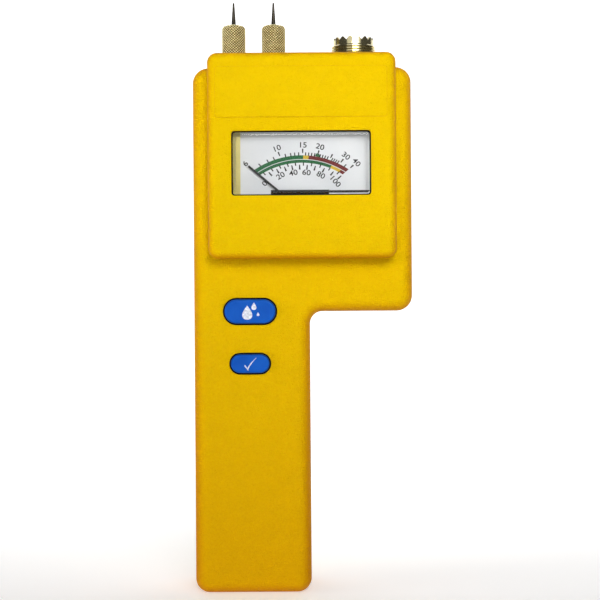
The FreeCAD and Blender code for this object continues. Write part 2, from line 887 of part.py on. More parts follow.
def pivot_staffs():
    front = rod("Y", ("pivot_across", "1.2 - pointer_front", "pivot_up"), "staff_rad",
                "pointer_front - 1.2 - coil_front")
    tip = rod("Y", ("pivot_across", "-pointer_front - 0.25", "pivot_up"), "staff_rad", "0.25")
    rear = rod("Y", ("pivot_across", "-coil_back", "pivot_up"), "staff_rad", "1.1")
    subpart("pivot_staffs", group(front, tip, rear))


def front_bridge():
    plate = box(("bridge_left", "-bridge_front", "bridge_bottom"),
                ("bridge_width", "bridge_thick", "bridge_top - bridge_bottom"))
    legs = [box((f"bridge_left + {offset}", "-bridge_front", "bridge_bottom"),
                (1.6, "bridge_front - dial_front + dial_thick", 1.6))
            for offset in ("0", "bridge_width - 1.6")]
    bore = rod("Y", ("pivot_across", "-bridge_front - 1", "pivot_up"),
               "jewel_rad + fit_gap", "bridge_thick + 2")
    subpart("front_bridge", trim(join(plate, *legs), bore))


def rear_bridge():
    plate = box(("pivot_across - 11", "-3.4", "pivot_up - 3"), (22, 0.8, 6))
    legs = [box((f"pivot_across {offset}", "-yoke_back", "pivot_up - 3"),
                (1.4, "yoke_back - 2.6", 6)) for offset in ("- 11", "+ 9.6")]
    bore = rod("Y", ("pivot_across", "-4", "pivot_up"), "jewel_rad + fit_gap", "2")
    subpart("rear_bridge", trim(join(plate, *legs), bore))


def jewel_screws():
    """Cup bearings at both ends of the staff, each a screw with a shallow socket."""
    screws = []
    for start, depth, cup in (("-bridge_front", "0.55", "-bridge_front + 0.5"),
                              ("-3.75", "1.2", "-3.85")):
        body = rod("Y", ("pivot_across", start, "pivot_up"), "jewel_rad", depth)
        socket = rod("Y", ("pivot_across", cup, "pivot_up"), "staff_rad + fit_gap", "0.3")
        screws.append(trim(body, socket))
    subpart("jewel_screws", group(*screws))


def hairspring(front, hand):
    """Flat spiral strip of half-round turns, coiled about the pivot."""
    step, strip = mm("spring_step"), mm("spring_strip")
    inner, outer = [], []
    radius, middle, side = mm("spring_start"), 0.0, 1
    half_turns = 11
    for turn in range(half_turns):
        for rail, size in ((inner, radius), (outer, radius + strip)):
            ends = [Vector(middle + side * size, 0, 0), Vector(middle - side * size, 0, 0)]
            crown = Vector(middle, side * hand * size, 0)
            rail.append(Part.Arc(ends[0], crown, ends[1]).toShape())
        middle += side * step / 2
        radius += step / 2
        side = -side
    start = Part.makeLine(inner[0].Vertexes[0].Point, outer[0].Vertexes[0].Point)
    end = Part.makeLine(inner[-1].Vertexes[-1].Point, outer[-1].Vertexes[-1].Point)
    outline = Part.Wire(Part.__sortEdges__(inner + [end] + outer + [start]))
    strip_shape = Part.Face(outline).extrude(Vector(0, 0, mm("spring_width")))
    strip_shape.Placement = Placement(Vector(mm("pivot_across"), front, mm("pivot_up")),
                                      AXIS_TURN["Y"])
    return strip_shape


def hairsprings():
    """One spiral in front of the coil and one behind it, wound opposite ways."""
    pair = DOC.addObject("Part::Feature", "hairsprings")
    pair.Shape = Part.Compound([hairspring(-17.3, 1), hairspring(-4.7, -1)])
    subpart("hairsprings", pair)


def meter_terminals():
    studs = []
    for across, up in terminal_spots():
        stud = rod("Y", (across, "-2.6", up), "terminal_rad", "terminal_end + 2.6")
        head = rod("Y", (across, "-2.6", up), "terminal_rad + 1", "1.2")
        studs.append(join(stud, head))
    subpart("meter_terminals", group(*studs))


def small_screw(across, seat, up, length):
    """Pan head screw that points to the front, its head's underside at a level."""
    shank = rod("Y", (across, f"{seat} - {length}", up), "small_screw_rad", f"{length} + 0.2")
    head = rod("Y", (across, seat, up), "small_head_rad", "small_head_thick")
    slot = box((f"{across} - 2", f"{seat} + 0.7", f"{up} - 0.25"), (4, 1, 0.5))
    return trim(join(shank, head), slot)


def meter_screws():
    seat = "(dial_thick + frame_thick - dial_front)"
    subpart("meter_screws", group(*[small_screw(across, seat, up, "4.6")
                                    for across, up in meter_screw_spots()]))


# ----------------------------------------------------------------------- buttons

def button_outline(body, name, level, extra):
    sketch = sketch_on(body, "XZ", level)
    stadium(sketch, f"{name}_mid", f"{name}_up", f"{name}_width + 2 * ({extra})",
            f"{name}_height + 2 * ({extra})")
    return sketch


def push_button(name):
    cap = new_body(f"{name}_button")
    face = "face_front + cap_proud"
    pad(cap, button_outline(cap, name, "-cap_flange_front", "0"), f"{face} - cap_flange_front")
    fillet(cap, "cap_round", lies_at("Y", -mm(face)))
    pad(cap, button_outline(cap, name, "1 - cap_flange_front", "cap_flange"), "1")
    stem = sketch_on(cap, "XZ", "-stem_back")
    circle(stem, f"{name}_mid", f"{name}_up", "stem_rad")
    pad(cap, stem, "cap_flange_front - stem_back - 0.5")

    bezel = new_body(f"{name}_bezel")
    flange_back = "bezel_thick + skin - face_front"
    pad(bezel, button_outline(bezel, name, flange_back, "bezel_lip"), "bezel_thick")
    sleeve = button_outline(bezel, name, "skin - face_front", "bezel_margin")
    pad(bezel, sleeve, "bezel_front + skin - face_front")
    pocket(bezel, button_outline(bezel, name, "-face_front - 1", "bore_margin"), "6")

    middle = (f"{name}_mid", f"{name}_up")
    plunger = rod("Y", (middle[0], "-stem_back", middle[1]), "plunger_rad",
                  "stem_back - plunger_back")
    subpart(f"{name}_plunger", plunger)
    half = "switch_side / 2"
    case = box((f"{middle[0]} - {half}", "-switch_front", f"{middle[1]} - {half}"),
               ("switch_side", "switch_front - board_front", "switch_side"))
    well = rod("Y", (middle[0], "-switch_front - 1", middle[1]), "plunger_rad + fit_gap", "3.4")
    subpart(f"{name}_switch", trim(case, well))
    return_spring(name)


def return_spring(name):
    """Coil spring round the stem, from the cap's flange to the switch, lofted in short facets."""
    front = mm("1 + coil_spring_wire - cap_flange_front + fit_gap")
    height = mm("-switch_front - coil_spring_wire - fit_gap") - front
    radius, wire, pitch = mm("coil_spring_rad"), mm("coil_spring_wire"), mm("coil_spring_pitch")
    sides, stations_per_turn = 6, 16
    turns = height / pitch
    stations = round(turns * stations_per_turn)
    sections = []
    for station in range(stations + 1):
        angle = 2 * math.pi * turns * station / stations
        outward = Vector(math.cos(angle), math.sin(angle), 0)
        along = Vector(-radius * outward.y, radius * outward.x, pitch / (2 * math.pi))
        along.normalize()
        across = along.cross(outward)
        centre = outward * radius + Vector(0, 0, height * station / stations)
        corners = [centre + outward * wire * math.cos(2 * math.pi * side / sides)
                   + across * wire * math.sin(2 * math.pi * side / sides)
                   for side in range(sides)]
        sections.append(Part.makePolygon(corners + corners[:1]))
    spring = DOC.addObject("Part::Feature", f"{name}_spring")
    spring.Shape = Part.makeLoft(sections, True, True)
    spring.Placement = Placement(Vector(mm(f"{name}_mid"), front, mm(f"{name}_up")),
                                 AXIS_TURN["Y"])
    subpart(f"{name}_spring", spring)


# ----------------------------------------------------------------- circuit board

BOARD_BACK = "(board_thick - board_front)"


def circuit_board():
    body = new_body("circuit_board")
    plate = sketch_on(body, "XZ", BOARD_BACK)
    rectangle(plate, "-board_width / 2", "board_bottom", "board_width", "board_height")
    pad(body, plate, "board_thick")
    drill(body, "-board_front - 1", "board_thick + 2", board_screw_spots(),
          "small_screw_rad + 0.2")


def board_screws():
    subpart("board_screws", group(*[small_screw(across, BOARD_BACK, up, "5.6")
                                    for across, up in board_screw_spots()]))


def amplifier_chip():
    """Fourteen-leg package standing off the back of the board."""
    middle, low, length, leg_step = 6.0, 82.0, 19.0, 2.54
    parts = [box((middle - 3.2, f"{BOARD_BACK} + 0.5", low), (6.4, 3.2, length))]
    for row in range(7):
        for side in (-4.1, 3.4):
            up = low + 1.63 + row * leg_step
            parts.append(box((middle + side, BOARD_BACK, up), (0.7, 2.4, 0.5)))
            inner = middle - 3.5 if side < 0 else middle + 3.0
            parts.append(box((inner, f"{BOARD_BACK} + 1.9", up), (0.5, 0.5, 0.5)))
    subpart("amplifier_chip", join(*parts))


def resistors():
    """Axial resistors, each with its two bent wires."""
    pieces = []
    for across in (-15.5, -12.5, 12.6):
        for low in (85.5, 96.5):
            parts = [rod("Z", (across, f"{BOARD_BACK} + 1.3", low), "1.1", "6")]
            for end in (low - 1.6, low + 7.2):
                parts.append(rod("Y", (across, BOARD_BACK, end + 0.2), "0.3", "1.5"))
            wire = rod("Z", (across, f"{BOARD_BACK} + 1.3", low - 1.4), "0.3", "8.8")
            pieces.append(join(*parts, wire))
    subpart("resistors", group(*pieces))


def capacitors():
    pieces = []
    for across, up in ((-7.5, 97.0), (-7.5, 90.0)):
        can = rod("Y", (across, f"{BOARD_BACK} + 0.4", up), "2.5", "7")
        legs = [rod("Y", (across + side, BOARD_BACK, up), "0.3", "0.5") for side in (-1.25, 1.25)]
        pieces.append(rounded(join(can, *legs), "0.4",
                              lambda edge: edge.BoundBox.YMin > 4.2 and edge.Closed))
    subpart("capacitors", group(*pieces))


TRIMMER = (-5.0, 80.5)


def trimmer():
    """Calibration potentiometer: a square case and a slotted rotor that turns in it."""
    across, up = TRIMMER
    case = box((across - 3.3, BOARD_BACK, up - 3.3), (6.6, 3.6, 6.6))
    well = rod("Y", (across, f"{BOARD_BACK} + 1.6", up), "1.75", "3")
    subpart("trimmer_case", trim(case, well))
    rotor = rod("Y", (across, f"{BOARD_BACK} + 1.65", up), "1.7", "2.4")
    slot = box((across - 2, f"{BOARD_BACK} + 3.3", up - 0.3), (4, 1, 0.6))
    subpart("trimmer_rotor", trim(rotor, slot))


# -------------------------------------------------------------- needle electrodes

def electrode(side):
    """Threaded post in the roof, its nut, the needle that stands on it and the cap over both."""
    centre = (f"{side}_pin", "pin_depth")
    under = "platform_top - roof"
    stud = rod("Z", (*centre, under), "post_rad", f"post_top - ({under})")
    shoulder = rod("Z", (*centre, f"{under} - post_shoulder_thick"), "post_shoulder",
                   "post_shoulder_thick")
    tail = rod("Z", (*centre, "post_stud_end"), "post_stud",
               f"{under} - post_shoulder_thick - post_stud_end")
    subpart(f"{side}_post", join(stud, shoulder, tail))

    collar = rod("Z", (*centre, "post_top"), "collar_rad", "collar_thick")
    shaft = rod("Z", (*centre, "post_top"), "needle_rad", "needle_taper - post_top")
    point = DOC.addObject("Part::Cone", "Point")
    bind(point, "Radius1", "needle_rad")
    bind(point, "Radius2", "needle_point")
    bind(point, "Height", "needle_top - needle_taper")
    place(point, (*centre, "needle_taper"))
    subpart(f"{side}_needle", join(collar, shaft, point))

    foot = "platform_top + retainer_gap"
    shell = rod("Z", (*centre, foot), "retainer_rad", f"retainer_top - ({foot})")
    crown = mm("retainer_top")
    shell = rounded(shell, "retainer_round", lies_at("Z", crown))
    bore = rod("Z", (*centre, f"{foot} - 1"), "post_rad + thread_gap", f"post_top + 1.05 - ({foot})")
    seat = rod("Z", (*centre, "post_top"), "collar_rad + 0.3", "collar_thick + 0.05")
    eye = rod("Z", (*centre, "post_top"), "needle_rad + fit_gap", "4")
    subpart(f"{side}_retainer", trim(shell, bore, seat, eye))


def post_nuts():
    under = "platform_top - roof - post_shoulder_thick"
    nuts, tags = [], []
    for pin in ("left_pin", "right_pin"):
        nut = hexagon((pin, "pin_depth", f"{under} - 0.6 - nut_thick"), "nut_flats", "nut_thick")
        hole = rod("Z", (pin, "pin_depth", f"{under} - 4"), "post_stud + fit_gap", "5")
        nuts.append(trim(nut, hole))
        ring = rod("Z", (pin, "pin_depth", f"{under} - 0.5"), "3.2", "0.5")
        tab = box((f"{pin} - 1.2", "pin_depth", f"{under} - 0.5"), (2.4, 6.5, 0.5))
        tag_hole = rod("Z", (pin, "pin_depth", f"{under} - 2"), "post_stud + fit_gap", "3")
        tags.append(trim(join(ring, tab), tag_hole))
    subpart("post_nuts", group(*nuts))
    subpart("solder_tags", group(*tags))


# ------------------------------------------------------------------ probe socket

def probe_socket():
    body = new_body("probe_socket")
    under = "platform_top - roof"
    flange = sketch_on(body, "XY", f"{under} - socket_flange_thick")
    circle(flange, "socket_mid", "pin_depth", "socket_flange")
    pad(body, flange, "socket_flange_thick")
    ears = sketch_on(body, "XY", f"{under} - socket_flange_thick")
    for spot in socket_screw_spots():
        circle(ears, *spot, "ear_rad")
    pad(body, ears, "socket_flange_thick")
    sleeve = sketch_on(body, "XY", "insulator_end")
    circle(sleeve, "socket_mid", "pin_depth", "socket_rad")
    pad(body, sleeve, "socket_top - insulator_end")
    rim = lies_at("Z", mm("socket_top"))
    dress(body, "PartDesign::Chamfer", "Size", "0.4", rim)
    bore = sketch_on(body, "XY", "socket_top + 1")
    circle(bore, "socket_mid", "pin_depth", "socket_bore")
    pocket(body, bore, "socket_top + 1 - insulator_top")
    seat = sketch_on(body, "XY", "insulator_top")
    circle(seat, "socket_mid", "pin_depth", "insulator_rad")
    pocket(body, seat, "insulator_top - insulator_end + 1")
    holes = sketch_on(body, "XY", under)
    for spot in socket_screw_spots():
        circle(holes, *spot, "small_screw_rad + 0.2")
    pocket(body, holes, "socket_flange_thick + 1")
    thread = sketch_on(body, "XZ", "pin_depth")
    edge, root = "socket_mid + socket_rad", "socket_mid + socket_rad - thread_depth"
    low = "platform_top + 0.25"
    polygon(thread, [(root, f"{low} + 0.4 * thread_pitch"), (f"{edge} + 0.1", low),
                     (f"{edge} + 0.1", f"{low} + 0.8 * thread_pitch")])
    groove = body.newObject("PartDesign::Groove", "Groove")
    groove.Profile = thread
    spin = sketch_on(body, "XZ", "pin_depth")
    line = spin.addGeometry(Part.LineSegment(Vector(mm("socket_mid"), 0, 0),
                                             Vector(mm("socket_mid"), 10, 0)), False)
    fix(spin, line, 1, "socket_mid", "0")
    fix(spin, line, 2, "socket_mid", "10")
    before = volume(body)
    groove.ReferenceAxis = (spin, ["Edge1"])
    groove.Angle = 360
    if volume(body) >= before:
        raise RuntimeError("probe_socket: the thread cuts nothing")
    pattern = body.newObject("PartDesign::LinearPattern", "Thread")
    pattern.Originals = [groove]
    pattern.Direction = (thread, ["V_Axis"])
    turns = 5
    bind(pattern, "Length", f"thread_pitch * {turns - 1}")
    pattern.Occurrences = turns
    body.Tip = pattern
    DOC.recompute()


def socket_ring():
    """Castellated ring on top of the socket, its teeth cut by a polar pattern."""
    body = new_body("socket_ring")
    ring = sketch_on(body, "XY", "socket_top")
    circle(ring, "0", "0", "ring_rad")
    pad(body, ring, "ring_top - socket_top")
    bore = sketch_on(body, "XY", "ring_top + 1")
    circle(bore, "0", "0", "ring_bore")
    pocket(body, bore, "ring_top - socket_top + 2")
    notch = sketch_on(body, "YZ", "ring_bore - 1")
    half = "ring_rad * 0.17"
    polygon(notch, [("0", "ring_top - tooth_depth"), (half, "ring_top + 0.1"),
                    (f"-{half}", "ring_top + 0.1")])
    cut = pocket(body, notch, "4", backwards=True)
    pattern = body.newObject("PartDesign::PolarPattern", "Teeth")
    pattern.Originals = [cut]
    upright = [axis for axis in body.Origin.OriginFeatures if axis.Role == "Z_Axis"][0]
    pattern.Axis = (upright, [""])
    pattern.Angle = 360
    bind(pattern, "Occurrences", "tooth_count")
    body.Tip = pattern
    place(body, ("socket_mid", "pin_depth", 0))
    DOC.recompute()


def socket_inside():
    centre = ("socket_mid", "pin_depth")
    disc = rod("Z", (*centre, "insulator_end"), "insulator_rad - fit_gap",
               "insulator_top - insulator_end")
    spots = [(f"socket_mid {side} contact_spread", "pin_depth") for side in "+-"]
    holes = [rod("Z", (*spot, "insulator_end - 1"), "contact_rad + fit_gap", "20")
             for spot in spots]
    subpart("socket_insulator", trim(disc, *holes))
    contacts = []
    for spot in spots:
        pin = rod("Z", (*spot, "contact_end"), "contact_rad", "contact_top - contact_end")
        well = rod("Z", (*spot, "contact_top - contact_deep"), "contact_bore", "contact_deep + 1")
        contacts.append(trim(pin, well))
    subpart("socket_contacts", group(*contacts))
    screws = []
    seat = "platform_top - roof - socket_flange_thick"
    for spot in socket_screw_spots():
        shank = rod("Z", (*spot, f"{seat} - 0.2"), "small_screw_rad", "4.2")
        head = rod("Z", (*spot, f"{seat} - small_head_thick"), "small_head_rad",
                   "small_head_thick")
        screws.append(join(shank, head))
    subpart("socket_screws", group(*screws))


# ----------------------------------------------------------------------- battery

def battery():
    body = new_body("battery")
    middle = "battery_depth / 2 - battery_front"
    brick = sketch_on(body, "XY", "battery_bottom")
    rounded_box(brick, "0", middle, "battery_width", "battery_depth", "battery_corner")
    pad(body, brick, "battery_height")
    top = lies_at("Z", mm("battery_bottom + battery_height"))
    bottom = lies_at("Z", mm("battery_bottom"))
    fillet(body, "0.5", lambda edge: top(edge) or bottom(edge))
    base = "battery_bottom + battery_height"
    studs = [rod("Z", ("-stud_spread", middle, base), "stud_small", "stud_height"),
             hexagon(("stud_spread", middle, base), "2 * stud_large - 0.3", "stud_height")]
    subpart("battery_studs", group(*studs))
    plate = box(("-snap_width / 2", f"{middle} - snap_depth / 2", f"{base} + snap_gap"),
                ("snap_width", "snap_depth", "snap_height"))
    wells = [rod("Z", (across, middle, base), f"{size} + 0.7", "stud_height + 0.1")
             for across, size in (("-stud_spread", "stud_small"), ("stud_spread", "stud_large"))]
    subpart("battery_snap", trim(plate, *wells))


# ------------------------------------------------------------------------- leads

def lead(points):
    """Round wire along straight runs joined by arcs as large as the runs allow."""
    spots = [Vector(*point) for point in points]
    edges = []
    start = spots[0]
    for before, corner, after in zip(spots, spots[1:], spots[2:]):
        one, two = before - corner, after - corner
        turn = math.pi - one.getAngle(two)
        radius = 0.45 * min(one.Length, two.Length) / math.tan(turn / 2)
        reach = radius * math.tan(turn / 2)
        one.normalize()
        two.normalize()
        entry, leave = corner + one * reach, corner + two * reach
        half = (one + two)
        half.normalize()
        crown = corner + half * (radius / math.cos(turn / 2) - radius)
        edges.append(Part.LineSegment(start, entry).toShape())
        edges.append(Part.Arc(entry, crown, leave).toShape())
        start = leave
        print(f"lead bend radius {radius:.1f}")
    edges.append(Part.LineSegment(start, spots[-1]).toShape())
    path = Part.Wire(edges)
    section = Part.Wire(Part.makeCircle(mm("lead_rad"), spots[0], spots[1] - spots[0]))
    wire = path.makePipeShell([section], True, False)
    expected = path.Length * math.pi * mm("lead_rad") ** 2
    if abs(wire.Volume / expected - 1) > 0.01:
        raise RuntimeError("a lead's volume is not its section times its length")
    return wire


LEADS = {
    "battery_lead_red": [
        [(-6.0, 4.75, 54.0), (-6.0, 4.75, 60.5), (-6.6, 4.2, 67.5), (-7.8, 1.6, 74.6),
         (-7.8, -2.9, 74.6)],
    ],
    "battery_lead_black": [
        [(6.0, 4.75, 54.0), (6.0, 4.75, 60.5), (5.4, 4.2, 67.5), (4.2, 1.6, 74.6),
         (4.2, -2.9, 74.6)],
    ],
    "meter_leads": [
        [(8.84, 3.2, 125.4), (8.84, 7.0, 125.4), (7.2, 6.4, 118.4), (2.6, 1.8, 110.6),
         (2.6, -2.9, 110.6)],
        [(26.84, 3.2, 125.4), (26.84, 7.0, 125.4), (20.5, 7.4, 118.0), (13.0, 4.6, 112.0),
         (8.4, 1.4, 108.4), (8.4, -2.9, 108.4)],
    ],
    "electrode_leads": [
        [(-6.3, -2.0, 178.6), (-6.3, -2.0, 170.6), (-10.4, 4.2, 158.0), (-11.0, 6.4, 136.0),
         (-10.4, 4.0, 119.0), (-9.2, 1.6, 109.6), (-9.2, -2.9, 109.6)],
        [(8.05, -2.0, 178.6), (8.05, -2.0, 170.0), (3.0, 5.4, 159.0), (-6.2, 7.0, 143.0),
         (-6.6, 6.0, 124.0), (-4.8, 1.8, 110.4), (-4.8, -2.9, 110.4)],
    ],
    "probe_leads": [
        [(34.3, -2.0, 174.0), (34.3, -2.0, 166.0), (36.6, 5.0, 154.0), (36.8, 7.0, 136.0),
         (28.0, 5.6, 120.5), (17.6, 3.0, 110.0), (11.4, 2.0, 106.4), (11.4, -2.9, 106.4)],
        [(39.3, -2.0, 174.0), (39.3, -2.0, 165.6), (41.0, 5.0, 153.0), (40.8, 7.0, 134.0),
         (31.0, 6.4, 116.5), (17.6, 3.6, 106.0), (9.0, 2.4, 103.6), (9.0, -2.9, 103.6)],
    ],
}


def leads():
    for label, routes in LEADS.items():
        bundle = DOC.addObject("Part::Feature", label)
        bundle.Shape = Part.Compound([lead(route) for route in routes])
        subpart(label, bundle)


# ------------------------------------------------------------------------- build

def check_and_write():
    """Refuse a failed or empty object, then write one STEP file per sub-part."""
    DOC.recompute()
    for thing in DOC.Objects:
        if "Invalid" in thing.State or "Error" in thing.State:
            raise RuntimeError(f"{thing.Label} ({thing.Name}) failed: {thing.State}")
    os.makedirs("parts", exist_ok=True)
    for thing in SUBPARTS:
        shape = thing.Shape
        if shape.isNull() or not shape.isValid() or not shape.Solids:
            raise RuntimeError(f"{thing.Label} has no valid solid")
        shape.exportStep(f"parts/{thing.Label}.step")
        print(f"{thing.Label}: {len(shape.Solids)} solid(s), {shape.Volume:.1f} mm3")
    print(len(SUBPARTS), "sub-parts")


def build():
    fill_sheet()
    front_case()
    rear_case()
    battery_door()
    case_screws()
    rating_label()
    window_gasket()
    meter_cover()
    dial_surround()
    dial_plate()
    meter_frame()
    yoke()
    magnet()
    magnet_spacers()
    moving_coil()
    pointer()
    pivot_staffs()
    front_bridge()
    rear_bridge()
    jewel_screws()
    hairsprings()
    meter_terminals()
    meter_screws()
    push_button("read")
    push_button("check")
    circuit_board()
    board_screws()
    amplifier_chip()
    resistors()
    capacitors()
    trimmer()
    electrode("left")
    electrode("right")
    post_nuts()
    probe_socket()
    socket_ring()
    socket_inside()
    battery()
    leads()
    check_and_write()


build()
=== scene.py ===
import json
import math

import bmesh
import bpy
from mathutils import Matrix, Vector


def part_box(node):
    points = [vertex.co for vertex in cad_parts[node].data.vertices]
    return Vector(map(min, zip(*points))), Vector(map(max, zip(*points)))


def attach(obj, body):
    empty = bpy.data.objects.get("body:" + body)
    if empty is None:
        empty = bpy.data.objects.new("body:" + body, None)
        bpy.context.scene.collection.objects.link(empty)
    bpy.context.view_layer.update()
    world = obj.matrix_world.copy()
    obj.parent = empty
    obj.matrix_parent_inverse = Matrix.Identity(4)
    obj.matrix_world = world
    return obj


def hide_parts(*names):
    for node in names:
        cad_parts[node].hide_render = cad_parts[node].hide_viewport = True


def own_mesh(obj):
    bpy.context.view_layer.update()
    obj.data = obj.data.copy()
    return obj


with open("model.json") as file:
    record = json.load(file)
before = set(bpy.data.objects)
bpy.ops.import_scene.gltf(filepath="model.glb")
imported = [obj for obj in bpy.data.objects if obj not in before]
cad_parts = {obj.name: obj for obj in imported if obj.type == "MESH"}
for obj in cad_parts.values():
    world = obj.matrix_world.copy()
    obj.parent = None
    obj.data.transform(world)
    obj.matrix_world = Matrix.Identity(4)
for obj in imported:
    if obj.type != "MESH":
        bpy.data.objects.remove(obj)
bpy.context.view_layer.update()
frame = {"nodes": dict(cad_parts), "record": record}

MM = 0.001
SLOTS = {part["node"]: part["material_slot"] for part in frame["record"]["subparts"]}

# ------------------------------------------------------------------ camera and light

CAMERA_SPOT = (0.01695, -0.505, 0.103)
CAMERA_LENS = 83.6
CAMERA_ROLL = math.radians(-0.4)
SKY_GLOW = 0.09


def make_camera():
    data = bpy.data.cameras.new("Camera")
    data.sensor_width = 36.0
    data.lens = CAMERA_LENS
    data.clip_start = 0.01
    data.clip_end = 20.0
    camera = bpy.data.objects.new("Camera", data)
    upright = Matrix.Rotation(math.pi / 2, 4, "X") @ Matrix.Rotation(CAMERA_ROLL, 4, "Z")
    camera.matrix_world = Matrix.Translation(CAMERA_SPOT) @ upright
    bpy.context.collection.objects.link(camera)
    bpy.context.scene.camera = camera


def area_light(name, spot, target, size, power, spread=180.0):
    """Rectangular lamp of a power in watts, whose light fans out by a spread in degrees."""
    data = bpy.data.lights.new(name, "AREA")
    data.spread = math.radians(spread)
    data.shape = "RECTANGLE"
    data.size, data.size_y = size
    data.energy = power
    light = bpy.data.objects.new(name, data)
    aim = (Vector(target) - Vector(spot)).to_track_quat("-Z", "Y")
    light.matrix_world = Matrix.Translation(spot) @ aim.to_matrix().to_4x4()
    light.visible_camera = False
    bpy.context.collection.objects.link(light)
    return light


def make_lights():
    area_light("Key", spot=(0.17, -0.6, 0.42), target=(0.11, 0.0, 0.22), size=(0.4, 0.3),
               power=0.45, spread=50.0)
    area_light("Front", spot=(0.05, -0.8, 0.32), target=(0.015, 0.0, 0.12), size=(1.2, 0.5),
               power=1.56)
    fill = area_light("Fill", spot=(-0.7, -0.22, 0.2), target=(0.0, 0.0, 0.17),
                      size=(0.4, 0.5), power=0.56, spread=70.0)
    fill.visible_glossy = False
    world = bpy.data.worlds.new("World")
    world.use_nodes = True
    sky = world.node_tree.nodes["Background"]
    sky.inputs["Color"].default_value = (1.0, 1.0, 1.0, 1.0)
    sky.inputs["Strength"].default_value = SKY_GLOW
    bpy.context.scene.world = world
    bpy.context.scene.view_settings.view_transform = "Standard"


# ------------------------------------------------------------------------- materials

# mesh attribute that says how deep a point of a knurled piece lies, from 0 to 1; the brass is
# painted lighter where it stands out and darker where it lies deep, as painted highlight and
# shade
GROOVE = "groove"


class Finish:
    """A procedural material: one Principled shader and the texture nodes that feed it."""

    def __init__(self, name, **constants):
        self.name = name
        self.material = bpy.data.materials.new(name)
        self.material.use_nodes = True
        self.tree = self.material.node_tree
        self.shader = self.tree.nodes["Principled BSDF"]
        for socket, value in constants.items():
            self.shader.inputs[socket.replace("_", " ")].default_value = value
        coordinates = self.tree.nodes.new("ShaderNodeTexCoord")
        self.place = coordinates.outputs["Object"]
        self.outward = coordinates.outputs["Normal"]

    def feed(self, socket, value):
        """Link a socket to another, or set it to a constant."""
        if isinstance(value, bpy.types.NodeSocket):
            self.tree.links.new(value, socket)
        else:
            socket.default_value = value

    def node(self, kind, **inputs):
        made = self.tree.nodes.new("ShaderNode" + kind)
        for socket, value in inputs.items():
            self.feed(made.inputs[socket.replace("_", " ")], value)
        return made

    def noise(self, scale, detail=3.0, vector=None):
        return self.node("TexNoise", Vector=vector or self.place, Scale=scale,
                         Detail=detail).outputs["Fac"]

    def along(self, axis, vector=None):
        return self.node("SeparateXYZ", Vector=vector or self.place).outputs[axis]

    def between(self, value, low, high, start=0.0, end=1.0):
        """A value mapped so that start gives low and end gives high."""
        return self.node("MapRange", Value=value, From_Min=start, From_Max=end, To_Min=low,
                         To_Max=high).outputs["Result"]

    def maths(self, operation, one, two=0.0):
        made = self.node("Math")
        made.operation = operation
        self.feed(made.inputs[0], one)
        self.feed(made.inputs[1], two)
        return made.outputs["Value"]

    def ramp(self, value, stops):
        made = self.node("ValToRGB", Fac=value)
        band = made.color_ramp
        while len(band.elements) < len(stops):
            band.elements.new(0.5)
        for element, (place, colour) in zip(band.elements, stops):
            element.position = place
            element.color = (*colour, 1.0)
        return made.outputs["Color"]

    def colour(self, socket):
        self.feed(self.shader.inputs["Base Color"], socket)
        return self

    def rough(self, value, low, high):
        self.feed(self.shader.inputs["Roughness"], self.between(value, low, high))
        return self

    def bump(self, height, depth):
        """Relief of a depth in millimetres."""
        made = self.node("Bump", Height=height, Distance=depth * MM)
        self.feed(self.shader.inputs["Normal"], made.outputs["Normal"])
        return self


def mottled(name, dark, light, grain, depth, rough, patch=60.0, **constants):
    """Common finish: patches of two colours, grain of a size in millimetres, uneven gloss.

    The higher the patch, which is a noise scale, the smaller the patches."""
    finish = Finish(name, **constants)
    finish.colour(finish.ramp(finish.noise(patch), [(0.35, dark), (0.65, light)]))
    fine = finish.noise(1.0 / (grain * MM))
    finish.rough(fine, *rough)
    return finish.bump(fine, depth)


def brushed(name, dark, light, axis, rough):
    """Metal with fine lines, packed close along one axis and drawn out along the others."""
    packing = [200.0, 200.0, 200.0]
    packing[axis] = 6000.0
    finish = Finish(name, Metallic=1.0)
    stretched = finish.node("Mapping", Vector=finish.place, Scale=packing).outputs["Vector"]
    lines = finish.noise(1.0, 4.0, stretched)
    finish.colour(finish.ramp(finish.noise(300.0), [(0.3, dark), (0.7, light)]))
    finish.rough(lines, *rough)
    return finish.bump(lines, 0.01)


def case_yellow():
    """Moulded plastic with a fine spark-eroded grain.

    It deepens to orange as painted shade on the sides and edges and towards the foot of the
    handle."""
    finish = Finish("case_yellow", Specular_IOR_Level=0.03)
    patches = finish.between(finish.noise(22.0, 2.0), -0.03, 0.03)
    level = finish.maths("ABSOLUTE", finish.along("Y", finish.outward))
    # painted shade: faces turned away from the front are coloured deeper orange
    sides = finish.between(level, 0.45, 0.0, 0.6, 1.0)
    # painted shade: deeper orange towards the foot of the handle, where less light falls
    foot_shade = finish.between(finish.along("Z"), 0.35, 0.0, 0.0, 0.15)
    specks = finish.between(finish.noise(2100.0, 1.0), -0.15, 0.15)
    tone = finish.maths("ADD", finish.maths("ADD", sides, patches),
                        finish.maths("ADD", foot_shade, specks))
    finish.colour(finish.ramp(tone, [(0.0, (0.84, 0.555, 0.0)), (0.25, (0.8, 0.45, 0.0)),
                                     (0.5, (0.72, 0.34, 0.0)), (0.9, (0.6, 0.22, 0.0))]))
    fine = finish.noise(2600.0, 2.0)
    finish.rough(fine, 0.34, 0.5)
    return finish.bump(finish.maths("ADD", fine, finish.noise(1200.0, 2.0)), 0.55)


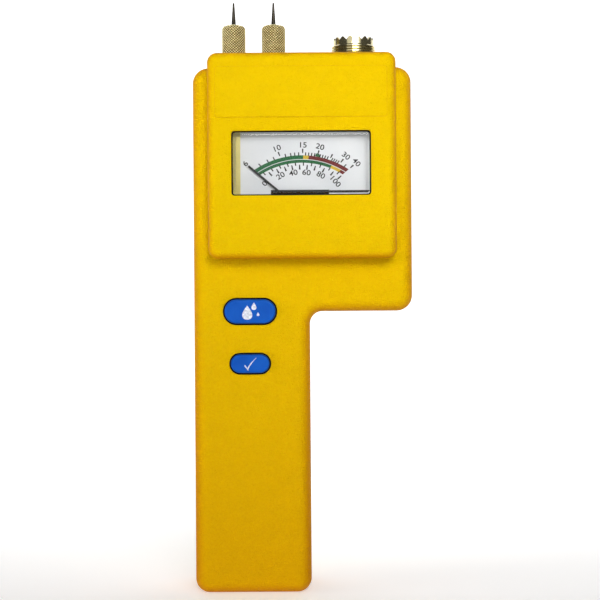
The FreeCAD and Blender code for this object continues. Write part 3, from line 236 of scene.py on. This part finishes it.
def clear_window():
    """Clear plastic that lamps shine through: light passes it as if it were open."""
    finish = Finish("clear_window", Transmission_Weight=1.0, IOR=1.49, Specular_IOR_Level=0.12)
    finish.shader.inputs["Base Color"].default_value = (0.97, 0.98, 1.0, 1.0)
    finish.rough(finish.noise(900.0), 0.0, 0.02)
    finish.bump(finish.noise(90.0, 1.0), 0.001)
    path = finish.node("LightPath")
    scattered = finish.maths("MAXIMUM", path.outputs["Is Diffuse Ray"],
                             path.outputs["Is Glossy Ray"])
    lit = finish.maths("MAXIMUM", path.outputs["Is Shadow Ray"], scattered)
    mix = finish.node("MixShader", Fac=lit)
    finish.feed(mix.inputs[1], finish.shader.outputs["BSDF"])
    finish.feed(mix.inputs[2], finish.node("BsdfTransparent").outputs["BSDF"])
    finish.feed(finish.tree.nodes["Material Output"].inputs["Surface"], mix.outputs["Shader"])
    return finish


def knurled_brass():
    """Brass with painted light: a painted highlight on the knurls' peaks and painted shade in the
    valleys between them.
    """
    finish = Finish("knurled_brass", Metallic=0.2)
    groove = finish.node("Attribute")
    groove.attribute_name = GROOVE
    # painted highlight and shade: lighter where a point stands out, dark where it lies deep, with
    # a little random tone
    painted_knurl_shade = finish.maths("ADD", groove.outputs["Fac"],
                         finish.between(finish.noise(500.0), -0.1, 0.1))
    finish.colour(finish.ramp(painted_knurl_shade, [(0.0, (0.95, 0.88, 0.5)), (0.55, (0.93, 0.8, 0.38)),
                                      (0.75, (0.15, 0.1, 0.03)), (1.0, (0.03, 0.02, 0.005))]))
    fine = finish.noise(2800.0)
    finish.rough(fine, 0.2, 0.3)
    return finish.bump(fine, 0.005)


def battery_jacket():
    """Plain two-tone jacket: dark below, copper above."""
    finish = Finish("battery_jacket", Metallic=0.6)
    height = finish.between(finish.along("Z"), 0.0, 1.0, 0.003, 0.049)
    finish.colour(finish.ramp(height, [(0.0, (0.02, 0.02, 0.025)), (0.7, (0.02, 0.02, 0.025)),
                                       (0.72, (0.5, 0.22, 0.08)), (1.0, (0.55, 0.25, 0.1))]))
    scuffs = finish.noise(400.0)
    finish.rough(scuffs, 0.25, 0.45)
    return finish.bump(scuffs, 0.01)


def resistor_tan():
    """Lacquered bodies with colour rings, tinned at the ends."""
    finish = Finish("resistor_tan")
    rings_per_metre = 700.0
    rings = finish.maths("FRACT", finish.maths("MULTIPLY", finish.along("Z"), rings_per_metre))
    finish.colour(finish.ramp(rings, [(0.0, (0.55, 0.38, 0.2)), (0.55, (0.55, 0.38, 0.2)),
                                      (0.6, (0.3, 0.05, 0.02)), (0.9, (0.05, 0.03, 0.02))]))
    lacquer = finish.noise(900.0)
    finish.rough(lacquer, 0.25, 0.4)
    return finish.bump(lacquer, 0.01)


def board_green():
    """Solder resist over copper tracks that run across and along the board."""
    finish = Finish("board_green")
    tracks_per_metre = 390.0
    across, along = [
        finish.maths("FRACT", finish.maths("MULTIPLY", finish.along(axis), tracks_per_metre))
        for axis in "XZ"]
    choice = finish.maths("GREATER_THAN", finish.noise(90.0, 0.0), 0.5)
    track = finish.maths("ADD", finish.maths("MULTIPLY", across, choice),
                         finish.maths("MULTIPLY", along, finish.maths("SUBTRACT", 1.0, choice)))
    raised = finish.maths("GREATER_THAN", track, 0.6)
    finish.colour(finish.ramp(raised, [(0.0, (0.01, 0.11, 0.04)), (1.0, (0.02, 0.2, 0.07))]))
    finish.rough(finish.noise(500.0), 0.25, 0.4)
    return finish.bump(raised, 0.03)


def coil_copper():
    finish = Finish("coil_copper", Metallic=1.0)
    radians_per_metre = 40000.0
    windings = finish.maths("SINE",
                            finish.maths("MULTIPLY", finish.along("Y"), radians_per_metre))
    finish.colour(finish.ramp(finish.noise(600.0), [(0.3, (0.45, 0.16, 0.06)),
                                                    (0.7, (0.6, 0.24, 0.1))]))
    finish.rough(windings, 0.3, 0.4)
    return finish.bump(windings, 0.02)


def make_finishes():
    rubber = dict(grain=0.3, depth=0.015, rough=(0.55, 0.75), Specular_IOR_Level=0.1)
    wire = dict(grain=0.4, depth=0.008, rough=(0.35, 0.5))
    moulded = dict(grain=0.25, depth=0.015, rough=(0.4, 0.6))
    printed = dict(grain=0.25, depth=0.004, rough=(0.45, 0.6), Specular_IOR_Level=0.1)
    made = [
        case_yellow(), clear_window(), knurled_brass(), battery_jacket(), resistor_tan(),
        board_green(), coil_copper(),
        mottled("button_blue", (0.004, 0.075, 0.42), (0.007, 0.1, 0.5), grain=0.5, depth=0.01,
                rough=(0.3, 0.42), patch=120.0, Specular_IOR_Level=0.08),
        mottled("black_rubber", (0.004, 0.004, 0.004), (0.012, 0.012, 0.012), **rubber),
        mottled("black_plastic", (0.01, 0.01, 0.011), (0.02, 0.02, 0.022), **moulded),
        mottled("chip_black", (0.012, 0.012, 0.012), (0.025, 0.025, 0.025), **moulded),
        mottled("trimmer_blue", (0.02, 0.1, 0.35), (0.03, 0.13, 0.42), **moulded),
        mottled("capacitor_sleeve", (0.01, 0.02, 0.1), (0.015, 0.03, 0.14), **wire),
        mottled("lead_red", (0.35, 0.01, 0.01), (0.48, 0.015, 0.012), **wire),
        mottled("lead_black", (0.008, 0.008, 0.008), (0.018, 0.018, 0.018), **wire),
        mottled("lead_white", (0.6, 0.6, 0.57), (0.75, 0.75, 0.72), **wire),
        mottled("lead_yellow", (0.6, 0.42, 0.03), (0.75, 0.55, 0.05), **wire),
        mottled("lead_grey", (0.2, 0.2, 0.21), (0.3, 0.3, 0.32), **wire),
        mottled("dial_white", (0.64, 0.66, 0.67), (0.7, 0.715, 0.72), **printed),
        # the case's yellow darkened to olive: painted shade on the surround and on the sill
        # inside the window
        mottled("surround_painted_shade", (0.56, 0.47, 0.14), (0.66, 0.56, 0.19), **printed),
        mottled("pointer_black", (0.01, 0.01, 0.01), (0.022, 0.022, 0.022), **printed),
        mottled("bridge_black", (0.004, 0.004, 0.004), (0.01, 0.01, 0.01), **printed),
        mottled("magnet_grey", (0.12, 0.12, 0.125), (0.2, 0.2, 0.21), grain=0.4, depth=0.02,
                rough=(0.45, 0.6), Metallic=0.8),
        mottled("needle_steel", (0.02, 0.017, 0.012), (0.04, 0.034, 0.026), grain=0.5,
                depth=0.008, rough=(0.3, 0.45), patch=200.0, Metallic=1.0),
        brushed("socket_nickel", (0.62, 0.54, 0.29), (0.72, 0.65, 0.4), 2, (0.1, 0.2)),
        brushed("plain_brass", (0.55, 0.36, 0.12), (0.7, 0.5, 0.2), 2, (0.2, 0.35)),
        brushed("screw_steel", (0.45, 0.45, 0.46), (0.6, 0.6, 0.6), 0, (0.22, 0.36)),
        brushed("soft_iron", (0.25, 0.26, 0.27), (0.36, 0.37, 0.38), 1, (0.35, 0.5)),
        brushed("label_silver", (0.6, 0.6, 0.61), (0.68, 0.68, 0.69), 2, (0.35, 0.45)),
        mottled("print_black", (0.006, 0.006, 0.006), (0.015, 0.015, 0.015), **printed),
        mottled("print_green", (0.003, 0.085, 0.02), (0.006, 0.12, 0.03), **printed),
        mottled("print_yellow", (0.5, 0.34, 0.02), (0.6, 0.42, 0.03), **printed),
        mottled("print_red", (0.11, 0.004, 0.003), (0.15, 0.007, 0.005), **printed),
        mottled("print_silver", (0.5, 0.53, 0.6), (0.8, 0.82, 0.88), grain=0.3, depth=0.02,
                rough=(0.25, 0.45), patch=1500.0, Metallic=0.7),
    ]
    return {finish.name: finish.material for finish in made}


# ------------------------------------------------------------------------ mesh tools

def centre_of(node):
    low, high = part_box(node)
    return (Vector(low) + Vector(high)) / 2


def new_piece(name, mesh, finish, body):
    mesh.materials.append(FINISHES[finish])
    piece = bpy.data.objects.new(name, mesh)
    bpy.context.collection.objects.link(piece)
    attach(piece, body)
    return piece


def to_mesh(build, name):
    mesh = bpy.data.meshes.new(name)
    build.to_mesh(mesh)
    build.free()
    return mesh


def to_closed_mesh(build, name):
    """Mesh of closed shells, with every face turned outwards."""
    bmesh.ops.recalc_face_normals(build, faces=build.faces)
    return to_mesh(build, name)


def join_loops(build, loops):
    """Quads between each loop of points and the next."""
    for one, two in zip(loops, loops[1:]):
        for number in range(len(one)):
            build.faces.new((one[number - 1], one[number], two[number], two[number - 1]))


def prisms(name, outlines, front, thick):
    """Thin plates that face -Y: outlines are loops of (x, z) in millimetres."""
    build = bmesh.new()
    for outline in outlines:
        near, far = [[build.verts.new((x * MM, depth * MM, z * MM)) for x, z in outline]
                     for depth in (front, front + thick)]
        build.faces.new(near)
        build.faces.new(far[::-1])
        join_loops(build, (near, far))
    return to_closed_mesh(build, name)


def lathe(name, profile, centre, columns, depth, sunk):
    """Closed ring of a profile of (radius, z) points turned about a vertical axis.

    sunk(row, column) is the share of the depth by which a point lies under the profile."""
    build = bmesh.new()
    groove = build.verts.layers.float.new(GROOVE)
    rows = []
    for number, (radius, z) in enumerate(profile):
        row = []
        for column in range(columns):
            angle = 2 * math.pi * column / columns
            share = sunk(number, column)
            out = radius - depth * share
            point = build.verts.new(((centre[0] + out * math.cos(angle)) * MM,
                                     (centre[1] + out * math.sin(angle)) * MM, z * MM))
            point[groove] = share
            row.append(point)
        rows.append(row)
    join_loops(build, rows + rows[:1])
    bmesh.ops.triangulate(build, faces=build.faces, quad_method="SHORT_EDGE")
    return to_closed_mesh(build, name)


# ------------------------------------------------------------------------------ dial

YOKE = centre_of("meter_yoke")
PIVOT = (YOKE.x / MM, YOKE.z / MM)
DIAL_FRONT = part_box("dial_plate")[0][1] / MM
PRINT_THICK = 0.02
# how far each colour of print stands in front of the one before
LAYER_STEP = 0.002
# the arcs are round a point below the pivot: their inner and outer radii
ARC_CENTRE = (PIVOT[0] - 0.08, PIVOT[1] - 10.1)
OUTER_BAND = (28.08, 29.4)
INNER_BAND = (26.8, 27.88)
# degrees of arc between the corners of a band's outline
BAND_STEP = 1.2
# ticks: gap from the arc they stand on, length, width at the far end, near width over far
UPPER_LONG = (0.7, 1.55, 0.56, 0.6)
UPPER_SHORT = (-0.1, 1.15, 0.4, 1.0)
LOWER_LONG = (-2.35, 1.7, 0.36, 1.6)
LOWER_SHORT = (-1.0, 1.1, 0.42, 1.0)
GREEN_MARK = (0.0, 1.1, 1.1, 1.6)
# rings on which the numerals stand, their size, and how they are squashed and fattened
UPPER_LABELS = 32.9
LOWER_LABELS = 23.4
NUMERAL = 3.05
NUMERAL_SQUAT = 0.86
NUMERAL_FAT = 0.045
# degrees by which the 0 stands clear of the resting pointer
ZERO_SHIFT = -3.6
# degrees from upright at which each scale reads each value
UPPER_SCALE = {6: -49.8, 7: -42.3, 8: -34.2, 10: -21.6, 12: -10.9, 15: 1.1, 20: 16.2,
               25: 28.8, 30: 39.1, 35: 44.1, 40: 48.8}
LOWER_SCALE = {0: -49.8, 10: -40.3, 20: -31.0, 30: -21.3, 40: -12.3, 50: -2.6, 60: 7.1,
               70: 17.2, 80: 28.3, 90: 39.2, 100: 48.7}
# values at which the arcs turn from green to yellow and from yellow to red
UPPER_TURNS = (15.2, 17.1)
LOWER_TURNS = (85, 95)


def reading_angle(scale, value):
    """Pointer angle of a value between the marks of a scale."""
    marks = sorted(scale)
    low = max(mark for mark in marks[:-1] if mark <= value)
    high = marks[marks.index(low) + 1]
    return scale[low] + (value - low) / (high - low) * (scale[high] - scale[low])


def reach(angle, ring):
    """Distance from the pivot to a ring about the arc's centre, along a pointer angle."""
    side, up = math.sin(math.radians(angle)), math.cos(math.radians(angle))
    off_x, off_z = PIVOT[0] - ARC_CENTRE[0], PIVOT[1] - ARC_CENTRE[1]
    half = off_x * side + off_z * up
    return -half + math.sqrt(half * half - off_x ** 2 - off_z ** 2 + ring ** 2)


def dial_point(angle, distance):
    turn = math.radians(angle)
    return (PIVOT[0] + distance * math.sin(turn), PIVOT[1] + distance * math.cos(turn))


def tick(angle, arc, style):
    """Outline of a tick that points at the pivot and stands on an arc."""
    gap, length, width, taper = style
    start = reach(angle, arc) + gap
    turn = math.radians(angle)
    across = (math.cos(turn), -math.sin(turn))
    outline = []
    for distance, halves in ((start, (-width * taper / 2, width * taper / 2)),
                             (start + length, (width / 2, -width / 2))):
        x, z = dial_point(angle, distance)
        outline += [(x + across[0] * half, z + across[1] * half) for half in halves]
    return outline


def band(start, end, rings):
    """Outline of a coloured stretch of arc between two pointer angles."""
    steps = max(2, round(abs(end - start) / BAND_STEP))
    angles = [start + (end - start) * step / steps for step in range(steps + 1)]
    low, high = [[dial_point(angle, reach(angle, ring)) for angle in angles] for ring in rings]
    return low + high[::-1]


def ticks():
    """Outlines of both scales' ticks, with long ones where there is a numeral."""
    outlines = []
    for value in [*range(7, 31), 35, 40]:
        style = UPPER_LONG if value % 5 == 0 and value != 35 else UPPER_SHORT
        outlines.append(tick(reading_angle(UPPER_SCALE, value), OUTER_BAND[1], style))
    for value in range(5, 101, 5):
        style = LOWER_SHORT if value % 10 else LOWER_LONG
        outlines.append(tick(reading_angle(LOWER_SCALE, value), INNER_BAND[0], style))
    return outlines


def numeral(text, angle, ring):
    """Mesh of one number, turned to stand on its tick."""
    curve = bpy.data.curves.new("Numeral", "FONT")
    curve.body = text
    curve.size = NUMERAL * MM
    curve.extrude = PRINT_THICK / 2 * MM
    curve.align_x = "CENTER"
    curve.align_y = "CENTER"
    curve.resolution_u = 4
    curve.offset = NUMERAL_FAT * MM
    holder = bpy.data.objects.new("Numeral", curve)
    bpy.context.collection.objects.link(holder)
    bpy.context.view_layer.update()
    mesh = bpy.data.meshes.new_from_object(
        holder.evaluated_get(bpy.context.evaluated_depsgraph_get()))
    bpy.data.objects.remove(holder)
    bpy.data.curves.remove(curve)
    x, z = dial_point(angle, reach(angle, ring))
    spot = Matrix.Translation((x * MM, (DIAL_FRONT - PRINT_THICK / 2) * MM, z * MM))
    turned = Matrix.Rotation(math.radians(angle), 4, "Y")
    upright = Matrix.Rotation(math.pi / 2, 4, "X")
    mesh.transform(spot @ turned @ upright @ Matrix.Diagonal((1.0, NUMERAL_SQUAT, 1.0, 1.0)))
    return mesh


def numerals():
    """Numbers of both scales as one thin mesh."""
    labels = [(value, reading_angle(UPPER_SCALE, value), UPPER_LABELS)
              for value in (6, 10, 15, 20, 30, 40)]
    labels += [(value, reading_angle(LOWER_SCALE, value), LOWER_LABELS)
               for value in range(20, 101, 20)]
    labels.append((0, LOWER_SCALE[0] + ZERO_SHIFT, LOWER_LABELS))
    build = bmesh.new()
    for value, angle, ring in labels:
        mesh = numeral(str(value), angle, ring)
        build.from_mesh(mesh)
        bpy.data.meshes.remove(mesh)
    bmesh.ops.remove_doubles(build, verts=build.verts, dist=1e-7)
    return to_mesh(build, "dial_numerals")


def make_dial():
    start, end = UPPER_SCALE[6], UPPER_SCALE[40]
    upper_yellow, upper_red = [reading_angle(UPPER_SCALE, value) for value in UPPER_TURNS]
    lower_yellow, lower_red = [reading_angle(LOWER_SCALE, value) for value in LOWER_TURNS]
    prints = [
        ("dial_green", "print_green",
         [band(start, upper_yellow, OUTER_BAND), band(start, lower_yellow, INNER_BAND),
          tick(UPPER_SCALE[20], OUTER_BAND[1], GREEN_MARK)]),
        ("dial_yellow", "print_yellow",
         [band(upper_yellow, upper_red, OUTER_BAND), band(lower_yellow, lower_red, INNER_BAND)]),
        ("dial_red", "print_red",
         [band(upper_red, end, OUTER_BAND), band(lower_red, end, INNER_BAND)]),
        ("dial_ticks", "print_black", ticks()),
    ]
    for layer, (name, finish, outlines) in enumerate(prints):
        front = DIAL_FRONT - PRINT_THICK - LAYER_STEP * layer
        mesh = prisms(name, outlines, front, PRINT_THICK)
        new_piece(name, mesh, finish, "case")
    new_piece("dial_numerals", numerals(), "print_black", "case")


# --------------------------------------------------------------------- button icons

ICON_THICK = 0.04


def drop(x, z, width, height):
    """Teardrop outline about (x, z): round below, drawn to a point above."""
    points = []
    steps = 36
    waist = 0.62
    sharpness = 1.3
    for step in range(steps):
        turn = 2 * math.pi * step / steps
        share = (1 - math.cos(turn)) / 2
        side = math.sin(turn) * math.sin(turn / 2) ** sharpness
        points.append((x - side * width * waist, z + height / 2 - share * height))
    return points


def check_mark(x, z, width, height):
    """Check mark about (x, z): a short stroke down, then a long curved one that thins upwards."""
    left, right = x - width / 2, x + width / 2
    low, high = z - height / 2, z + height / 2
    foot = left + width * 0.27
    # half the long stroke's width at its foot and at its tip, and the direction across it
    foot_half, tip_half = 0.29, 0.05
    across = (0.8, -0.5)
    upper, lower = [], []
    steps = 10
    for step in range(steps + 1):
        share = step / steps
        up = low + (high - low) * share ** 0.85
        along = foot + (right - foot) * share ** 1.25
        half = tip_half + (foot_half - tip_half) * (1 - share)
        upper.append((along - half * across[0], up - half * across[1]))
        lower.append((along + half * across[0], up + half * across[1]))
    short = [(left + 0.35, low + height * 0.45), (left, low + height * 0.36)]
    return lower + upper[:0:-1] + [(foot - 0.05, low + 0.7)] + short


def read_shapes(x, z):
    """One large drop with two small ones at its right."""
    return [drop(x - 0.95, z - 0.35, 3.9, 5.0), drop(x + 1.4, z + 1.85, 1.95, 2.6),
            drop(x + 2.85, z - 0.95, 1.0, 1.35)]


def check_shapes(x, z):
    return [check_mark(x + 0.05, z - 0.1, 4.3, 4.4)]


def make_icon(side, shapes):
    """Print, half sunk in a button's face: shapes(x, z) are its outlines about the middle."""
    button = f"{side}_button"
    middle = centre_of(button)
    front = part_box(button)[0][1] / MM - ICON_THICK / 2
    name = f"{side}_icon"
    mesh = prisms(name, shapes(middle.x / MM, middle.z / MM), front, ICON_THICK)
    new_piece(name, mesh, "print_silver", f"{side}_key")


# -------------------------------------------------------------------- knurled caps

# knurls round the cap, the height of one and the depth of the valleys between
KNURLS = 24
KNURL_HEIGHT = 0.95
KNURL_DEPTH = 0.3
# radius of the rounded top edge
CAP_ROUND = 1.6
# bore round the post, seat of the needle's collar and its height, eye for the needle
CAP_BORE = 3.06
CAP_SEAT = 1.8
CAP_SEAT_HEIGHT = 0.85
CAP_EYE = 0.88
CAP_EYE_CHAMFER = 0.12


def make_cap(side):
    """Cap with diamond knurls: pyramids whose peaks and valleys alternate on a grid."""
    node = f"{side}_retainer"
    low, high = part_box(node)
    centre = ((low[0] + high[0]) / 2 / MM, (low[1] + high[1]) / 2 / MM)
    radius = (high[0] - low[0]) / 2 / MM
    foot, crown = low[2] / MM, high[2] / MM
    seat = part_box(f"{side}_post")[1][2] / MM
    rows = round((crown - foot) / (KNURL_HEIGHT / 2))

    def outer(level):
        rise = max(0.0, (level - crown + CAP_ROUND) / CAP_ROUND)
        return radius - CAP_ROUND * (1 - math.sqrt(max(0.0, 1 - rise * rise)))

    def sunk(row, column):
        return (row + column) % 2 if 0 < row < rows else 0

    levels = [foot + (crown - foot) * row / rows for row in range(rows + 1)]
    profile = [(outer(level), level) for level in levels]
    profile += [(CAP_EYE + CAP_EYE_CHAMFER, crown), (CAP_EYE, crown - CAP_EYE_CHAMFER),
                (CAP_EYE, seat + CAP_SEAT_HEIGHT), (CAP_SEAT, seat + CAP_SEAT_HEIGHT),
                (CAP_SEAT, seat), (CAP_BORE, seat), (CAP_BORE, foot)]
    mesh = lathe(f"{side}_cap", profile, centre, 2 * KNURLS, KNURL_DEPTH, sunk)
    piece = new_piece(f"{side}_knurled_cap", mesh, "knurled_brass", f"{side}_cap")
    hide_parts(node)


# ------------------------------------------------------------------- button springs

# radius of the wire
SPRING_WIRE = 0.25
SPRING_TURNS = 4
STEPS_A_TURN = 32
WIRE_CORNERS = 8


def make_spring(side):
    """Coil spring between a button and its switch."""
    node = f"{side}_spring"
    low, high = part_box(node)
    middle = centre_of(node)
    radius = (high[0] - low[0]) / 2 / MM - SPRING_WIRE
    length = (high[1] - low[1]) / MM
    steps = SPRING_TURNS * STEPS_A_TURN
    build = bmesh.new()
    rings = []
    for step in range(steps + 1):
        turn = 2 * math.pi * SPRING_TURNS * step / steps
        back = low[1] / MM + SPRING_WIRE + (length - 2 * SPRING_WIRE) * step / steps
        ring = []
        for corner in range(WIRE_CORNERS):
            around = 2 * math.pi * corner / WIRE_CORNERS
            out = radius + SPRING_WIRE * math.cos(around)
            ring.append(build.verts.new((middle.x + out * math.cos(turn) * MM,
                                         (back + SPRING_WIRE * math.sin(around)) * MM,
                                         middle.z + out * math.sin(turn) * MM)))
        rings.append(ring)
    join_loops(build, rings)
    build.faces.new(rings[0])
    build.faces.new(rings[-1][::-1])
    for face in build.faces:
        face.smooth = True
    mesh = to_closed_mesh(build, f"{side}_coil")
    piece = new_piece(f"{side}_coil", mesh, SLOTS[node], "case")
    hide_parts(node)
    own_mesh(piece)


# --------------------------------------------------------------------------- window

# width and height round the outside of the seal, width of its strip, corner radius
SEAL = (48.28, 22.38)
SEAL_WIDTH = 0.5
SEAL_CORNER = 1.2
SEAL_CHAMFER = 0.1
# how far behind the cover's front the seal's face, its edges and its back lie
SEAL_FACE = 0.2
SEAL_EDGE = 0.35
SEAL_BACK = 2.0
# the sill's foot above the seal's, the heights of the sill and of the black strip of painted gap
# shadow, and their thickness
SILL_LIFT = 0.55
SILL_HEIGHT = 1.0
GAP_SHADOW_HEIGHT = 0.4
SILL_THICK = 0.3
# how far short of the cover's side the sill stops
SILL_SHORT = 2.8


def rounded_outline(centre, width, height, corner):
    """Loop of (x, z) points round a rectangle with round corners."""
    steps = 5
    points = []
    for quarter, (across, up) in enumerate(((1, 1), (-1, 1), (-1, -1), (1, -1))):
        for step in range(steps + 1):
            turn = math.pi / 2 * (quarter + step / steps)
            points.append((centre[0] + across * (width / 2 - corner) + corner * math.cos(turn),
                           centre[1] + up * (height / 2 - corner) + corner * math.sin(turn)))
    return points


def make_seal():
    """Black strip in the gap between the clear cover and the case."""
    middle = centre_of("meter_cover")
    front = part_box("meter_cover")[0][1] / MM
    section = ((0.0, SEAL_BACK), (0.0, SEAL_EDGE), (SEAL_CHAMFER, SEAL_FACE),
               (SEAL_WIDTH - SEAL_CHAMFER, SEAL_FACE), (SEAL_WIDTH, SEAL_EDGE),
               (SEAL_WIDTH, SEAL_BACK))
    build = bmesh.new()
    loops = []
    for inset, depth in section:
        outline = rounded_outline((middle.x / MM, middle.z / MM), SEAL[0] - 2 * inset,
                                  SEAL[1] - 2 * inset, SEAL_CORNER - inset)
        loops.append([build.verts.new((x * MM, (front + depth) * MM, z * MM))
                      for x, z in outline])
    join_loops(build, loops + loops[:1])
    mesh = to_closed_mesh(build, "window_seal")
    new_piece("window_seal", mesh, "bridge_black", "case")


def make_sill():
    """Lip of the case under the dial's right half, darkened as painted shade, with a black strip
    above it as the painted shadow of the gap.
    """
    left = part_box("front_bridge")[1][0] / MM
    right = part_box("meter_cover")[1][0] / MM - SILL_SHORT
    foot = centre_of("meter_cover").z / MM - SEAL[1] / 2 + SILL_LIFT
    top = foot + SILL_HEIGHT
    # painted shade: the lip in yellow darkened to olive, and a black strip for the shadow in the
    # gap above it
    for name, low, high, finish in (("dial_sill", foot, top, "surround_painted_shade"),
                                    ("dial_gap_shadow", top, top + GAP_SHADOW_HEIGHT, "print_black")):
        outline = [(left, low), (right, low), (right, high), (left, high)]
        mesh = prisms(name, [outline], DIAL_FRONT - SILL_THICK, SILL_THICK)
        new_piece(name, mesh, finish, "case")


# ----------------------------------------------------------------------------- stage

# metres: where the floor starts and where it bends up, its half width, the backdrop's top
FLOOR_FRONT = -1.6
FLOOR_BACK = 1.0
HALF_WIDTH = 2.5
BEND = 0.6
BEND_STEPS = 12
TOP = 2.5


def sweep_paper():
    """White paper that glows, and more so towards the back, so that it fades to white."""
    finish = Finish("sweep_paper", Roughness=0.9, Emission_Color=(1.0, 1.0, 1.0, 1.0))
    finish.colour(finish.ramp(finish.noise(3.0), [(0.3, (0.9, 0.9, 0.9)),
                                                  (0.7, (0.92, 0.92, 0.92))]))
    finish.feed(finish.shader.inputs["Emission Strength"],
                finish.between(finish.along("Y"), 0.2, 0.9, -0.1, 0.35))
    return finish.material


def make_stage():
    """Pale sweep: a floor that curves up into a backdrop."""
    profile = [(FLOOR_FRONT, 0.0)]
    for step in range(BEND_STEPS + 1):
        turn = math.pi / 2 * step / BEND_STEPS
        profile.append((FLOOR_BACK + BEND * math.sin(turn), BEND * (1 - math.cos(turn))))
    profile.append((FLOOR_BACK + BEND, TOP))
    build = bmesh.new()
    left, right = [[build.verts.new((x, y, z)) for y, z in profile]
                   for x in (-HALF_WIDTH, HALF_WIDTH)]
    for number in range(1, len(profile)):
        build.faces.new((left[number - 1], right[number - 1], right[number], left[number]))
    mesh = to_mesh(build, "sweep")
    mesh.materials.append(sweep_paper())
    sweep = bpy.data.objects.new("sweep", mesh)
    bpy.context.collection.objects.link(sweep)


# ------------------------------------------------------------------------------ make

make_camera()
make_lights()
FINISHES = make_finishes()

# the dial's surround shares the case's slot, but it gets the case's yellow darkened to olive as
# painted shade
cad_finishes = {**SLOTS, "dial_surround": "surround_painted_shade"}
for node, thing in frame["nodes"].items():
    for place in thing.material_slots:
        place.material = FINISHES[cad_finishes[node]]

make_dial()
make_sill()
make_seal()
make_icon("read", read_shapes)
make_icon("check", check_shapes)
make_cap("left")
make_cap("right")
make_spring("read")
make_spring("check")
make_stage()
